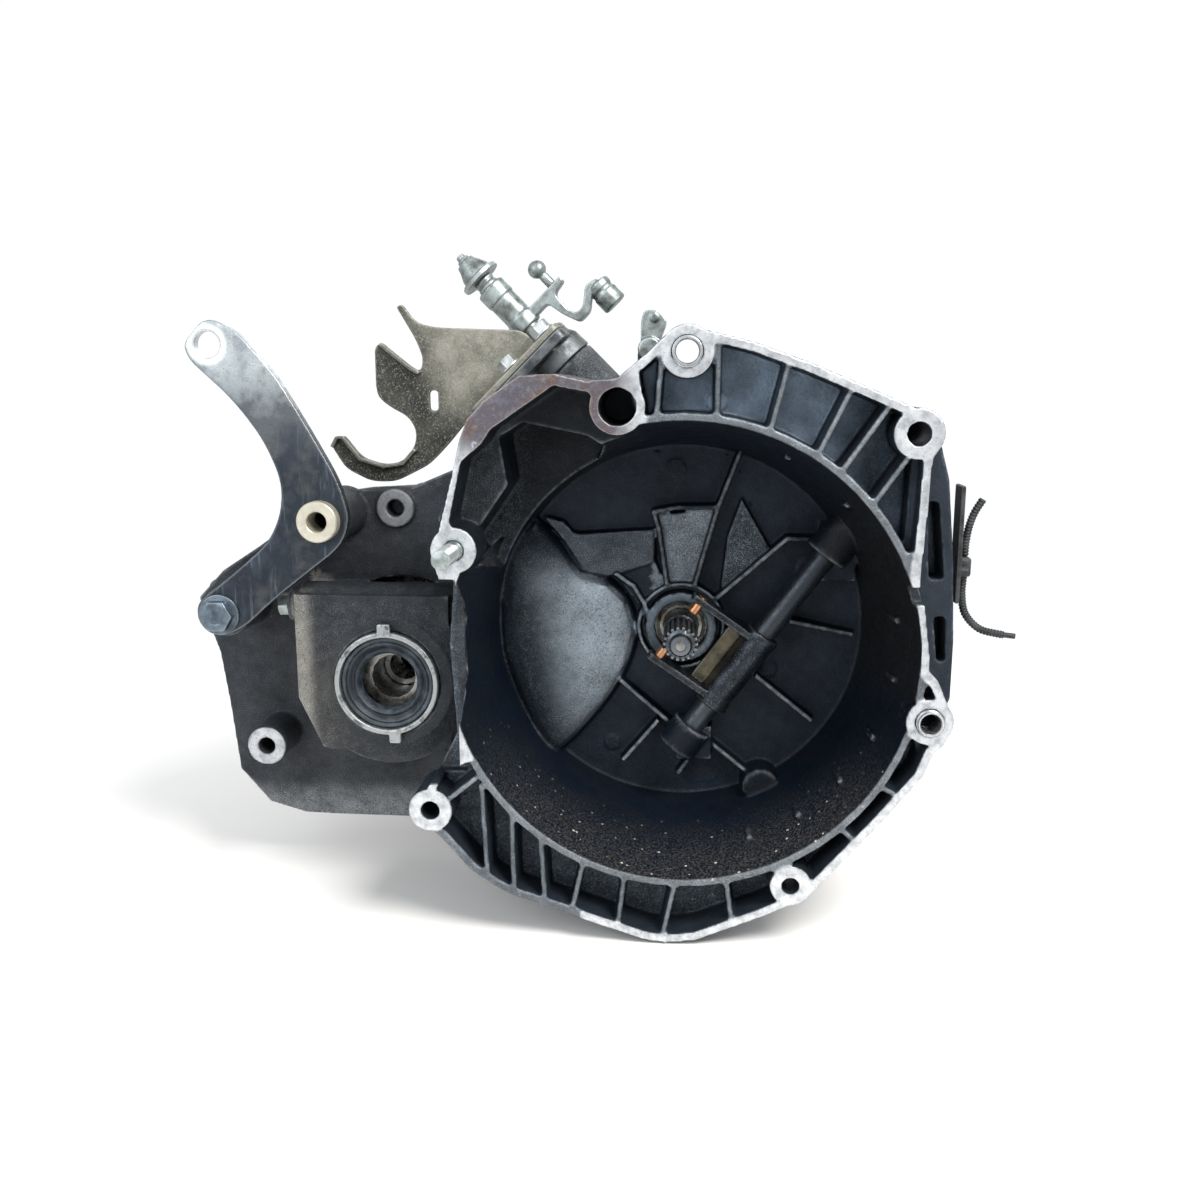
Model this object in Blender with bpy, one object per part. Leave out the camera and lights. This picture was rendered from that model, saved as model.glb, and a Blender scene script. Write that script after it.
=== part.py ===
"""Transverse five-speed manual transmission, modelled as an assembly of separate parts.

The engine side faces -Y and the flange plane is y = 0, with the input shaft's axis through the origin and +Z up.
Lengths below are millimetres, turned into metres where a mesh is made. Outlines are (x, z) points.
"""

import math

import bmesh
import bpy
from mathutils import Matrix, Vector

MM = 0.001
GAP = 0.3
ROUND = 14
BELL_SIDES = 60

# The bell housing has too many faces that meet in one plane for the exact solver.
CASTING_SOLVER = "MANIFOLD"

# Shaft axes, as (x, z).
INPUT = (0.0, 0.0)
OUTPUT = (-75.0, -12.3)
FINAL = (-196.0, -32.0)
IDLER = (6.0, -52.0)

# Planes along Y.
RIM_DEPTH = 36.0
POCKET_DEPTH = 27.0
FLOOR_FRONT = 106.0
FLOOR_ROOT = 108.0
JOINT = 118.0
DIFF_BACK = 216.0
CASE_BACK = 300.0
COVER_BACK = 362.0
INPUT_END = 344.0

# Bell.
BELL_RADIUS = 145.0
BELL_FLOOR_RADIUS = 125.0
RIM_WALL = 4.5
STRIP_WIDTH = 5.5
FLANGE_RIB_WIDTH = 3.4
FLOOR_RIB_WIDTH = 2.8
CASE_FLANGE = 11.0

# Flange bosses, as (x, z, boss radius, hole radius).
TOP_BOSS = (1.7, 184.8, 15.5, 9.3)
TOP_RIGHT_BOSS = (136.7, 137.6, 14.8, 7.0)
RIGHT_BOSS = (152.0, -36.5, 14.3, 8.7)
BOTTOM_BOSS = (71.5, -146.0, 13.0, 5.5)
LOWER_LEFT_BOSS = (-158.0, -102.0, 14.0, 6.0)
STUD_BOSS = (-138.9, 66.0, 14.2, 6.3)
STARTER_BOSS = (-39.2, 152.7, 16.5, 11.2)
EAR_BOSS = (-288.0, -84.0, 13.5, 6.0)
REAR_BOSS = (-199.0, 80.0, 13.5, 6.0)

# The mount arm's eye, spacer and bolt, and the relay lever's pivot, as (x, z).
ARM_EYE = (-306.0, 190.0)
ARM_SPACER = (-237.0, 77.0)
ARM_BOLT = (-309.0, 13.0)
RELAY_PIVOT = (-24.0, 188.0)

# Gears, as (teeth on the input shaft, teeth on the output shaft, first Y, last Y).
GEAR_PAIRS = {
    1: (9, 31, 156.0, 168.0),
    2: (13, 27, 204.0, 216.0),
    3: (17, 22, 222.0, 234.0),
    4: (20, 19, 262.0, 274.0),
    5: (22, 17, 306.0, 318.0),
}
FINAL_TEETH = (12, 46)
FINAL_WIDTH = (127.0, 149.0)
DIFF_CENTRE = 138.0
SIDE_TEETH = 14
PLANET_TEETH = 10
BEVEL_MODULE = 3.0
ADDENDUM = 0.72
DEDENDUM = 1.1

# Synchronisers: the centre of each sleeve along Y.
SLEEVES = {"12": 186.0, "34": 248.0, "5": 334.0}
RAILS = {"12": (-72.0, 104.0), "34": (-56.0, 104.0), "5": (-40.0, 86.0)}
SLEEVE_LENGTH = 16.0
HUB_RADIUS = 29.0
SLEEVE_RADIUS = 38.0
GROOVE_RADIUS = 34.0
SHAFT_RADIUS = 12.0

# Selector: a point on its axis and the way up along it.
SELECTOR_POINT = Vector((-97.0, 140.0, 191.0))
SELECTOR_UP = Vector((-1.0, 0.0, 1.0)).normalized()
SELECTOR_SIDE = Vector((1.0, 0.0, 1.0)).normalized()

# The plate under the cable bracket, as (along the side, along Y) from the selector's axis, and its two bolts.
SELECTOR_FOOT = [(-66, -33), (16, -33), (19, 0), (16, 20), (-40, 20), (-66, 4)]
BRACKET_BOLTS = ((-26.0, -25.0), (6.0, -25.0))

# Clutch release: the point of its shaft nearest to the input axis, and the shaft's direction.
RELEASE_POINT = Vector((38.3, 88.0, -27.7))
RELEASE_ALONG = Vector((0.587, 0.0, 0.81)).normalized()
RELEASE_ACROSS = Vector((-0.81, 0.0, 0.587)).normalized()
RELEASE_REACH = 49.0

CONDUIT_DIAMETER = 5.0


def running_bore(radius):
    """The bore for a turning shaft: the corners of both polygons keep the gap at every angle."""
    return (radius + GAP) / math.cos(math.pi / ROUND)


def clear_scene():
    for obj in list(bpy.data.objects):
        bpy.data.objects.remove(obj, do_unlink=True)


def material(name, colour, roughness, metallic):
    found = bpy.data.materials.get(name)
    if found:
        return found
    made = bpy.data.materials.new(name)
    made.use_nodes = True
    shader = made.node_tree.nodes["Principled BSDF"]
    shader.inputs["Base Color"].default_value = (*colour, 1.0)
    shader.inputs["Roughness"].default_value = roughness
    shader.inputs["Metallic"].default_value = metallic
    return made


def casting(name):
    return material(name + "_casting", (0.16, 0.18, 0.20), 0.55, 0.8)


def steel(name):
    return material(name + "_steel", (0.42, 0.43, 0.44), 0.35, 1.0)


def zinc(name):
    return material(name + "_zinc", (0.55, 0.58, 0.56), 0.4, 0.9)


def rubber(name):
    return material(name + "_rubber", (0.03, 0.03, 0.035), 0.6, 0.0)


def object_from(name, bm, origin=(0.0, 0.0, 0.0)):
    """Closes a bmesh into an object whose mesh is in metres, with its origin at a point given in millimetres."""
    bmesh.ops.recalc_face_normals(bm, faces=bm.faces)
    mesh = bpy.data.meshes.new(name)
    bm.to_mesh(mesh)
    bm.free()
    mesh.transform(Matrix.Scale(MM, 4) @ Matrix.Translation(-Vector(origin)))
    obj = bpy.data.objects.new(name, mesh)
    obj.location = Vector(origin) * MM
    bpy.context.scene.collection.objects.link(obj)
    return obj


def finish(obj, surface):
    """Gives a part its material and smooths its round faces."""
    obj.data.materials.clear()
    obj.data.materials.append(surface)
    obj.data.shade_smooth()
    obj.data.set_sharp_from_angle(angle=math.radians(35))
    return obj


def circle(radius, y, count=ROUND):
    turn = math.tau / count
    return [Vector((radius * math.cos(i * turn), y, radius * math.sin(i * turn))) for i in range(count)]


def toothed(teeth, root, tip, y, phase, root_share=0.6, tip_share=0.24):
    """One loop of trapezoidal teeth round the Y axis; phase is the angle of a tooth's middle."""
    half = math.pi / teeth
    points = []
    for i in range(teeth):
        middle = phase + i * math.tau / teeth
        for radius, offset in ((root, -root_share), (tip, -tip_share), (tip, tip_share), (root, root_share)):
            angle = middle + offset * half
            points.append(Vector((radius * math.cos(angle), y, radius * math.sin(angle))))
    return points


def angle_of(vert):
    return math.atan2(vert.co.z, vert.co.x) % math.tau


def stitch(bm, first, second):
    """Joins two loops round the Y axis with triangles, taking their points in the order of their angles."""
    loops = []
    for loop in (first, second):
        start = min(range(len(loop)), key=lambda i: angle_of(loop[i]))
        loop = loop[start:] + loop[:start]
        angles = [angle_of(vert) for vert in loop]
        loops.append((loop + loop[:1], angles + [angles[0] + math.tau]))
    (inner, inner_angles), (outer, outer_angles) = loops
    i = 0
    j = 0
    while i < len(inner) - 1 or j < len(outer) - 1:
        step_outer = i == len(inner) - 1 or (j < len(outer) - 1 and outer_angles[j + 1] <= inner_angles[i + 1])
        if step_outer:
            bm.faces.new((inner[i], outer[j], outer[j + 1]))
            j += 1
        else:
            bm.faces.new((inner[i], outer[j], inner[i + 1]))
            i += 1


def ring_loops(bm, loops, bored):
    """Joins loops along a path; a bored part's last loop meets its first, and a solid one has flat ends."""
    rings = [[bm.verts.new(point) for point in loop] for loop in loops]
    for first, second in zip(rings, rings[1:]):
        stitch(bm, first, second)
    if bored:
        stitch(bm, rings[-1], rings[0])
    else:
        bm.faces.new(rings[0])
        bm.faces.new(rings[-1])


def spun(name, loops, axis, bored=False):
    """A part whose loops lie round an axis along Y, given as (x, z)."""
    bm = bmesh.new()
    ring_loops(bm, loops, bored)
    bmesh.ops.translate(bm, verts=bm.verts, vec=(axis[0], 0.0, axis[1]))
    return object_from(name, bm, (axis[0], 0.0, axis[1]))


def aimed(name, loops, point, direction, bored=False):
    """The same for any axis: the loops' Y runs from the point along the direction."""
    bm = bmesh.new()
    ring_loops(bm, loops, bored)
    turn = Vector((0.0, 1.0, 0.0)).rotation_difference(Vector(direction)).to_matrix()
    bmesh.ops.rotate(bm, verts=bm.verts, cent=(0.0, 0.0, 0.0), matrix=turn)
    bmesh.ops.translate(bm, verts=bm.verts, vec=point)
    return object_from(name, bm, point)


def turned_loops(profile, count=ROUND):
    """Loops of a lathe profile given as (radius, distance along the axis)."""
    return [circle(radius, y, count) for radius, y in profile]


def bar(first, last, radius, count=ROUND):
    """A cylinder between two points, for joining to or cutting from another part."""
    first = Vector(first)
    along = Vector(last) - first
    return aimed("bar", turned_loops(((radius, 0.0), (radius, along.length)), count), first, along.normalized())


def drum(centre, radius, first, last, count=ROUND):
    """A cylinder along Y."""
    return bar((centre[0], first, centre[1]), (centre[0], last, centre[1]), radius, count)


def cone(centre, first_radius, last_radius, first, last, count):
    return spun("cone", turned_loops(((first_radius, first), (last_radius, last)), count), centre)


def loft(sections):
    """A solid through outlines with equal counts of (x, z) points, each given with its Y."""
    bm = bmesh.new()
    rings = [[bm.verts.new((x, y, z)) for x, z in outline] for outline, y in sections]
    bm.faces.new(rings[0])
    bm.faces.new(rings[-1])
    for near, far in zip(rings, rings[1:]):
        for i in range(len(near)):
            j = (i + 1) % len(near)
            bm.faces.new((near[i], near[j], far[j], far[i]))
    return object_from("loft", bm)


def prism(outline, first, last):
    """An outline in the XZ plane, extruded along Y."""
    return loft(((outline, first), (outline, last)))


def fin(path, width, first, last):
    """A thin wall along a path of (x, z) points, standing between two planes."""
    walls = []
    for i, (start, end) in enumerate(zip(path, path[1:])):
        start = Vector(start)
        end = Vector(end)
        along = (end - start).normalized() * (width * 0.3 if i < len(path) - 2 else 0.0)
        side = Vector((start.y - end.y, end.x - start.x)).normalized() * (width / 2)
        outline = [tuple(start - side), tuple(end + along - side), tuple(end + along + side), tuple(start + side)]
        walls.append(prism(outline, first + 0.05 * i, last))
    return walls


def block(low, high):
    outline = ((low[0], low[2]), (high[0], low[2]), (high[0], high[2]), (low[0], high[2]))
    return prism(outline, low[1], high[1])


def slab(outline, origin, across, up, thickness):
    """An outline drawn on the two directions given, extruded both ways from it by half the thickness."""
    normal = Vector(across).cross(Vector(up)).normalized() * (thickness / 2)
    bm = bmesh.new()
    sides = []
    for shift in (-normal, normal):
        points = [Vector(origin) + Vector(across) * u + Vector(up) * v + shift for u, v in outline]
        sides.append([bm.verts.new(point) for point in points])
        bm.faces.new(sides[-1])
    for i in range(len(outline)):
        j = (i + 1) % len(outline)
        bm.faces.new((sides[0][i], sides[0][j], sides[1][j], sides[1][i]))
    return object_from("slab", bm)


def combine(target, operation, others, solver="EXACT"):
    """Joins or cuts with each other object in turn, keeps the result as the target's mesh, and removes the others."""
    for other in others:
        modifier = target.modifiers.new("boolean", "BOOLEAN")
        modifier.operation = operation
        modifier.object = other
        modifier.solver = solver
        graph = bpy.context.evaluated_depsgraph_get()
        made = bpy.data.meshes.new_from_object(target.evaluated_get(graph))
        target.modifiers.clear()
        target.data = made
        bpy.data.objects.remove(other, do_unlink=True)
    return target


def tidy(obj):
    """Merges the slivers that cutting leaves and flattens faces that lie in one plane."""
    bm = bmesh.new()
    bm.from_mesh(obj.data)
    bmesh.ops.remove_doubles(bm, verts=bm.verts, dist=0.00002)
    bmesh.ops.dissolve_limit(
        bm, angle_limit=math.radians(0.2), verts=bm.verts, edges=bm.edges, use_dissolve_boundaries=False
    )
    bmesh.ops.triangulate(bm, faces=bm.faces)
    bmesh.ops.recalc_face_normals(bm, faces=bm.faces)
    bm.to_mesh(obj.data)
    bm.free()
    return obj


def built(name, surface, solid, joined=(), cut=(), origin=None, solver="EXACT"):
    """Names a solid, joins and cuts it, gives it its material and, if asked, moves its origin to an axis."""
    combine(solid, "UNION", joined, solver)
    combine(solid, "DIFFERENCE", cut, solver)
    solid.name = name
    solid.data.name = name
    if origin is not None:
        move = Vector(origin) * MM - solid.location
        solid.data.transform(Matrix.Translation(-move))
        solid.location = Vector(origin) * MM
    tidy(solid)
    return finish(solid, surface)


def around(circles, steps=12):
    """The convex outline round a few circles given as (x, z, radius)."""
    points = []
    for x, z, radius in circles:
        for i in range(steps):
            angle = math.tau * i / steps
            points.append((x + radius * math.cos(angle), z + radius * math.sin(angle)))
    points.sort()
    chain = []
    for path in (points, points[::-1]):
        half = []
        for point in path:
            while len(half) > 1 and turns_right(half[-2], half[-1], point):
                half.pop()
            half.append(point)
        chain += half[:-1]
    return chain


def turns_right(a, b, c):
    return (b[0] - a[0]) * (c[1] - a[1]) - (b[1] - a[1]) * (c[0] - a[0]) <= 0


def inset(outline, distance):
    """Moves each side of a counter-clockwise outline inwards."""
    moved = []
    count = len(outline)
    for i in range(count):
        before = Vector(outline[i - 1])
        here = Vector(outline[i])
        after = Vector(outline[(i + 1) % count])
        first = (here - before).normalized()
        second = (after - here).normalized()
        middle = Vector((-first.y - second.y, first.x + second.x)).normalized()
        reach = distance / max(0.5, middle.dot(Vector((-first.y, first.x))))
        moved.append(tuple(here + middle * reach))
    return moved


# The flange's outer edge, counter-clockwise from the stud boss down the left, along the bottom, up the right side
# and back over the top.
FLANGE_OUTLINE = [
    (-153, 62), (-146, 40), (-149.5, 0), (-146, -60), (-160, -88), (-171, -103), (-152, -120.8), (-133, -142.5),
    (-118, -153), (-106.5, -159), (-66.8, -171.3), (-20.7, -185.9), (-7.6, -187.6), (12, -185.3), (53, -168),
    (82, -154), (97.4, -135.5), (124.3, -104), (149.5, -72), (155, -57), (161, -51), (166, -41), (163, -27),
    (155.7, -10.4), (150, -4), (149.7, 4.5), (145.3, 36), (141.7, 50), (144.3, 99.4), (145, 122.7),
    (150.5, 132), (149, 145), (135, 152), (106, 164.4), (73.7, 177.9), (41, 189.7), (12, 196.9), (2, 200),
    (-9, 196.5), (-22.8, 183), (-40.6, 168.3), (-58.5, 167.8), (-76.5, 171.8), (-97, 171), (-119, 156),
    (-129, 145), (-133.8, 133), (-138.7, 112), (-147, 81),
]

# The hollow behind the flange at the upper left: the strip's inner edge, and the edge of the deeper step.
CORNER_OUTLINE = [
    (-141, 84), (-130, 50), (-100, 90), (-70, 116), (-36, 132), (-50, 152), (-56, 161), (-77, 165), (-90, 156),
    (-115, 139), (-120, 131), (-133, 120),
]
CORNER_STEP = [
    (-137, 64), (-120, 40), (-90, 85), (-60, 110), (-50, 128), (-60, 134), (-100, 142), (-115, 133), (-110, 103),
]
CORNER_WALL = [
    (-150, 84), (-136, 50), (-100, 84), (-64, 112), (-26, 136), (-34, 166), (-58, 167), (-76, 171), (-97, 170),
    (-118, 155), (-128, 144), (-133, 132), (-138, 112),
]

# The joint between the bell housing and the gear case, counter-clockwise.
JOINT_OUTLINE = [
    (-345, 14), (-332, -26), (-327, -64), (-322, -114), (-301, -139), (-274, -147), (-191, -148), (-130, -131),
    (-60, -104), (0, -90), (52, -64), (72, -25), (72, 22), (50, 62), (20, 104), (-8, 146), (-58, 158),
    (-108, 144), (-150, 110), (-188, 94), (-222, 92), (-248, 88), (-298, 52), (-326, 34),
]

# Ribs between the bell's rim and the flange's strip, from the rim outwards.
FLANGE_RIBS = [
    ((-16, 147), (-13, 186)), ((19.5, 146), (20, 190)), ((51, 139), (61, 180)), ((79, 125), (98, 165)),
    ((93, 115), (121, 156)), ((113, 97), (137, 132)), ((133, 66), (142, 67)), ((122, -78), (134, -84)),
    ((101, -107), (111, -116)), ((31, -145), (35, -172)), ((-1.5, -147), (-9, -184)), ((-34, -145), (-38, -178)),
    ((-60, -134), (-67.5, -168)), ((-87.5, -119), (-85, -163)), ((-106, -102), (-105, -156)),
    ((-125, -84), (-122, -148)), ((-128, -80), (-150, -98)),
]

# The rounded boss over the output shaft's bearing, and the raised field beside it.
BULGE = [
    (-91, -98), (-77, -86), (-53, -58), (-36.5, -30), (-30.4, -4.4), (-36.7, 18), (-50, 31), (-70, 37), (-84, 58),
    (-100, 74), (-122, 60), (-128, 20), (-126, -20), (-116, -48), (-102, -81),
]
PLATEAU = [(-68, 38), (-50, 33.5), (-19, 44), (-19, 67), (-74.5, 63), (-81.5, 72), (-95.5, 75), (-82, 60)]

# Ribs on the bell's floor.
FLOOR_RIBS = [
    [(-10, 29), (-15.8, 67), (-19.5, 79.5), (-4, 82.5), (24, 83)],
    [(9, 29), (24, 83), (41, 128)],
    [(24, 20), (71, 62), (96, 62)],
    [(-42, -39), (-6, -70)],
    [(20, -82), (50, -106)],
    [(-15, -68), (-40, -98)],
    [(12, -88), (-1, -107)],
    [(74, 5), (118, -4)],
    [(52, -34), (92, -66)],
    [(-46, 37), (-33, 28), (-25, 15), (-23, 6)],
]
RIM_RECESS = 1.6


def strip_edge():
    return inset(FLANGE_OUTLINE, STRIP_WIDTH)


def rib_band(first, last, inner):
    """The space inside the flange's strip and outside a radius, leaving out the upper left corner."""
    band = prism(strip_edge(), first, last)
    corner = prism([(0, 0), (-26, 170), (-60, 320), (-320, 320), (-320, -60), (-170, -88)], first - 1, last + 1)
    return combine(band, "DIFFERENCE", [drum(INPUT, inner, first - 1, last + 1, BELL_SIDES), corner], CASTING_SOLVER)


def boss(spec, first, last, grow=0.0):
    return drum(spec[:2], spec[2] + grow, first, last)


def hole(spec, first, last):
    return drum(spec[:2], spec[3], first, last, 16)


def flange():
    """The bolting flange: a machined strip and bosses, with a rim and ribs that stand a little lower."""
    shell = prism(FLANGE_OUTLINE, 0.0, RIM_DEPTH)
    hollow = rib_band(-1.0, POCKET_DEPTH, BELL_RADIUS + RIM_WALL)
    combine(shell, "DIFFERENCE", [hollow], CASTING_SOLVER)
    ribs = [fin(rib, FLANGE_RIB_WIDTH, RIM_RECESS + 0.4, POCKET_DEPTH + 1)[0] for rib in FLANGE_RIBS]
    combine(shell, "UNION", ribs, CASTING_SOLVER)
    low_rim = rib_band(-1.0, RIM_RECESS, BELL_RADIUS - 3)
    low_corner = prism([(-176, -106), (-128, -152), (-62, -177), (-60, -140), (-120, -70)], -1.0, RIM_RECESS)
    return combine(shell, "DIFFERENCE", [low_rim, low_corner], CASTING_SOLVER)


def differential_tower():
    """The solids of the differential's front tower and of the bosses on the casing beside it."""
    tower = [(-259, 27), (-259, -45), (-243, -80), (-154, -80), (-154, 27)]
    return [
        prism(tower, 54.0, 110.0),
        drum(FINAL, 44.0, 50.0, 110.0, 24),
        bar((-266, 72, 17), (-165, 72, 17), 12.0),
        bar((-243, 72, -68), (-152, 72, -68), 12.0),
        drum(ARM_SPACER, 17.0, 60.0, 112.0),
        drum(ARM_BOLT, 17.0, 60.0, 112.0),
        boss(EAR_BOSS, 66.0, 112.0),
        boss(REAR_BOSS, 98.0, 112.0),
    ]


def bell_floor():
    """What stands on the bell's floor: bearing bosses, a raised field, webs, ribs and the release shaft's bearings."""
    webs = [
        [(-7, 30), (7, 30), (21, 80), (-16, 77)],
        [(-46, 35), (-30, 14), (-20, 26), (-12, 30), (-18, 44)],
        [(27, 26), (60, 54), (40, 88), (31, 62)],
    ]
    ring = drum(INPUT, 30.5, 96.0, FLOOR_ROOT, 28)
    combine(ring, "DIFFERENCE", [drum(INPUT, 28.0, 90.0, 105.0, 28)], CASTING_SOLVER)
    solids = [
        loft(((inset(BULGE, 12), 91.0), (inset(BULGE, 4), 94.0), (BULGE, 101.0), (BULGE, FLOOR_ROOT))),
        loft(((inset(PLATEAU, 1.5), 98.0), (PLATEAU, 100.0), (PLATEAU, FLOOR_ROOT))),
        ring,
        drum(INPUT, 24.4, 92.0, FLOOR_ROOT, 24),
        drum((57, -112), 12.0, 86.0, FLOOR_ROOT, 20),
        bar(along_release(-70), along_release(-50), 13.5, 14),
        bar(along_release(98), along_release(124), 14.0, 14),
        block((-2, 88, -94), (22, FLOOR_ROOT, -70)),
        block((94, 90, 34), (117, FLOOR_ROOT, 72)),
    ]
    solids += [prism(web, 100.5, FLOOR_ROOT) for web in webs]
    for path in FLOOR_RIBS:
        solids += fin(path, FLOOR_RIB_WIDTH, 93.5, FLOOR_ROOT)
    return solids


def bell_housing():
    """The clutch bell with its bolting flange, its floor, and the front half of the differential's tower."""
    shell = flange()
    skirt = [(136, 150), (150, 138), (158, 110), (163, 62), (166, 12), (166, -25), (148, -60), (130, 0)]
    joined = [
        cone(INPUT, BELL_RADIUS - 1, BELL_FLOOR_RADIUS + 7, POCKET_DEPTH + 2, JOINT, BELL_SIDES),
        prism(skirt, 12.0, 58.0),
        prism(JOINT_OUTLINE, 102.0, JOINT),
        prism(CORNER_WALL, 10.0, 92.0),
        *differential_tower(),
    ]
    combine(shell, "UNION", joined, CASTING_SOLVER)
    hollow = [
        cone(INPUT, BELL_RADIUS, BELL_FLOOR_RADIUS, -0.01, FLOOR_FRONT, BELL_SIDES),
        block((-175, -1, -84), (-138, 33, 48)),
        prism(CORNER_OUTLINE, -1.0, 34.0),
        prism(CORNER_STEP, 30.0, 87.0),
        prism([(146, 97), (152.5, 97), (158, 50), (149, 50)], 11.0, 34.0),
        prism([(153, 27), (160, 27), (161.5, -1), (156.5, -1)], 11.0, 34.0),
        block((136, -1, 36.5), (172, 8, 46.5)),
    ]
    combine(shell, "DIFFERENCE", hollow, CASTING_SOLVER)
    flange_bosses = (TOP_BOSS, TOP_RIGHT_BOSS, RIGHT_BOSS, BOTTOM_BOSS, LOWER_LEFT_BOSS, STUD_BOSS, STARTER_BOSS)
    inside = [boss(spec, 0.0, RIM_DEPTH + 6) for spec in flange_bosses] + bell_floor()
    combine(shell, "UNION", inside, CASTING_SOLVER)
    cut = [hole(spec, -1.0, RIM_DEPTH + 8) for spec in flange_bosses]
    cut += [
        hole(EAR_BOSS, 60.0, 100.0),
        hole(REAR_BOSS, 90.0, 112.0),
        drum(ARM_SPACER, 6.5, 50.0, 90.0, 16),
        drum(ARM_BOLT, 6.5, 50.0, 90.0, 16),
        drum(INPUT, 18.0, 90.0, JOINT + 1),
        drum(INPUT, 20.0, 98.0, JOINT + 1, 20),
        drum(OUTPUT, 26.0, 98.0, JOINT + 1, 20),
        drum(FINAL, 36.0, 49.0, 66.0, 24),
        drum(FINAL, 32.0, 60.0, JOINT + 1, 24),
        drum(FINAL, 64.0, 92.0, JOINT + 1, 24),
        bar(along_release(-66), along_release(150), 8.0 + GAP),
        bar((-280, 72, 17), (-250, 72, 17), 6.0, 12),
    ]
    return built("bell_housing", casting("bell_housing"), shell, (), cut, None, CASTING_SOLVER)


def along_release(distance, across=0.0, forward=0.0):
    """A point at a distance along the release shaft, then across to the input axis's side, then towards the engine."""
    return RELEASE_POINT + RELEASE_ALONG * distance + RELEASE_ACROSS * across - Vector((0.0, forward, 0.0))


def along_selector(distance, side=0.0, back=0.0):
    return SELECTOR_POINT + SELECTOR_UP * distance + SELECTOR_SIDE * side + Vector((0.0, back, 0.0))


def deep_outline(grow=0.0):
    circles = ((*INPUT, 58.0 + grow), (*OUTPUT, 72.0 + grow), (-56.0, 104.0, 32.0 + grow), (6.0, -46.0, 34.0 + grow))
    return around(circles)


def cover_outline(grow=0.0):
    circles = ((*INPUT, 56.0 + grow), (*OUTPUT, 56.0 + grow), (-44.0, 84.0, 20.0 + grow))
    return around(circles)


def gear_case():
    """The casing behind the bell housing: it holds the gears, the rear bearings and the rear of the differential."""
    front = JOINT + GAP
    shell = prism(JOINT_OUTLINE, front, front + CASE_FLANGE)
    joined = [
        prism(inset(JOINT_OUTLINE, 6.0), front + 1, 172.0),
        prism(deep_outline(), front + 1, CASE_BACK),
        prism(cover_outline(6.0), CASE_BACK - 10, CASE_BACK),
        spun("tower", turned_loops(((112, 150), (112, 178), (74, DIFF_BACK - 16), (44, DIFF_BACK)), 24), FINAL),
        bar(along_selector(-66), along_selector(-20), 22.0),
    ]
    combine(shell, "UNION", joined)
    cavity = [
        prism(inset(JOINT_OUTLINE, 12.0), front - 1, 166.0),
        prism(deep_outline(-7.0), front - 1, CASE_BACK - 14),
        spun("hollow", turned_loops(((106, 150), (106, 174), (68, 188), (68, 196)), 24), FINAL),
    ]
    combine(shell, "DIFFERENCE", cavity)
    cut = [
        drum(FINAL, 32.0, 190.0, DIFF_BACK + 1, 24),
        drum(INPUT, 26.0, 280.0, CASE_BACK + 1, 20),
        drum(OUTPUT, 26.0, 280.0, CASE_BACK + 1, 20),
        bar(along_selector(-80), along_selector(-19), 13.0),
    ]
    cut += [drum(place, 6.0 + GAP, 280.0, CASE_BACK + 1, 16) for place in RAILS.values()]
    return built("gear_case", casting("gear_case"), shell, (), cut)


def end_cover():
    front = CASE_BACK + GAP
    shell = prism(cover_outline(6.0), front, front + 8)
    combine(shell, "UNION", [prism(cover_outline(), front + 1, COVER_BACK)])
    return built("end_cover", casting("end_cover"), shell, (), [prism(cover_outline(-4.5), front - 1, COVER_BACK - 5)])


def ring_part(name, surface, axis, profile, count=20):
    """A bored ring: the profile runs round its section."""
    return finish(spun(name, turned_loops(profile, count), axis, bored=True), surface)


def bearing(name, axis, first, last, outer, shaft):
    """A rolling bearing with a groove in each face between its races."""
    inner = running_bore(shaft)
    middle = (outer + inner) / 2
    wide = (outer - inner) / 5
    profile = [(inner, first), (middle - wide, first), (middle, first + 1.5), (middle + wide, first)]
    profile += [(outer, first), (outer, last), (inner, last)]
    return ring_part(name, steel(name), axis, profile, ROUND)


def bearings():
    bearing("input_bearing_front", INPUT, 99.0, 114.0, 20.0 - GAP * 1.5, SHAFT_RADIUS)
    bearing("input_bearing_rear", INPUT, 287.0, 299.0, 26.0 - GAP * 1.5, SHAFT_RADIUS)
    bearing("output_bearing_front", OUTPUT, 99.0, 114.0, 26.0 - GAP * 1.5, SHAFT_RADIUS)
    bearing("output_bearing_rear", OUTPUT, 287.0, 299.0, 26.0 - GAP * 1.5, SHAFT_RADIUS)
    bearing("differential_bearing_left", FINAL, 70.0, 86.0, 32.0 - GAP * 1.5, 22.0)
    bearing("differential_bearing_right", FINAL, 191.0, 205.0, 32.0 - GAP * 1.5, 22.0)


def differential_ring():
    """The threaded ring that sets the differential bearing, with a lug above and below it."""
    ring = spun("ring", turned_loops(((31.5, 46), (35, 46), (35.5, 48), (35.5, 65), (31.5, 65)), 24), FINAL, True)
    lugs = [
        block((FINAL[0] - 5, 45.6, FINAL[1] + 33), (FINAL[0] + 4, 49.5, FINAL[1] + 41)),
        block((FINAL[0] + 1, 45.6, FINAL[1] - 41), (FINAL[0] + 9, 49.5, FINAL[1] - 33)),
    ]
    return built("differential_ring", zinc("differential_ring"), ring, lugs)


def seals():
    left = [(19, 54), (21, 50), (24, 52), (27, 49.5), (31, 49), (31, 62), (19, 58)]
    ring_part("differential_seal_left", rubber("differential_seal_left"), FINAL, left)
    right = [(19, 210), (27, 214), (31.3, 214), (31.3, 206), (24, 206)]
    ring_part("differential_seal_right", rubber("differential_seal_right"), FINAL, right)


def module_of(teeth, distance):
    return 2 * distance / sum(teeth)


def gear_angle(start, end):
    return math.atan2(end[1] - start[1], end[0] - start[0])


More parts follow.
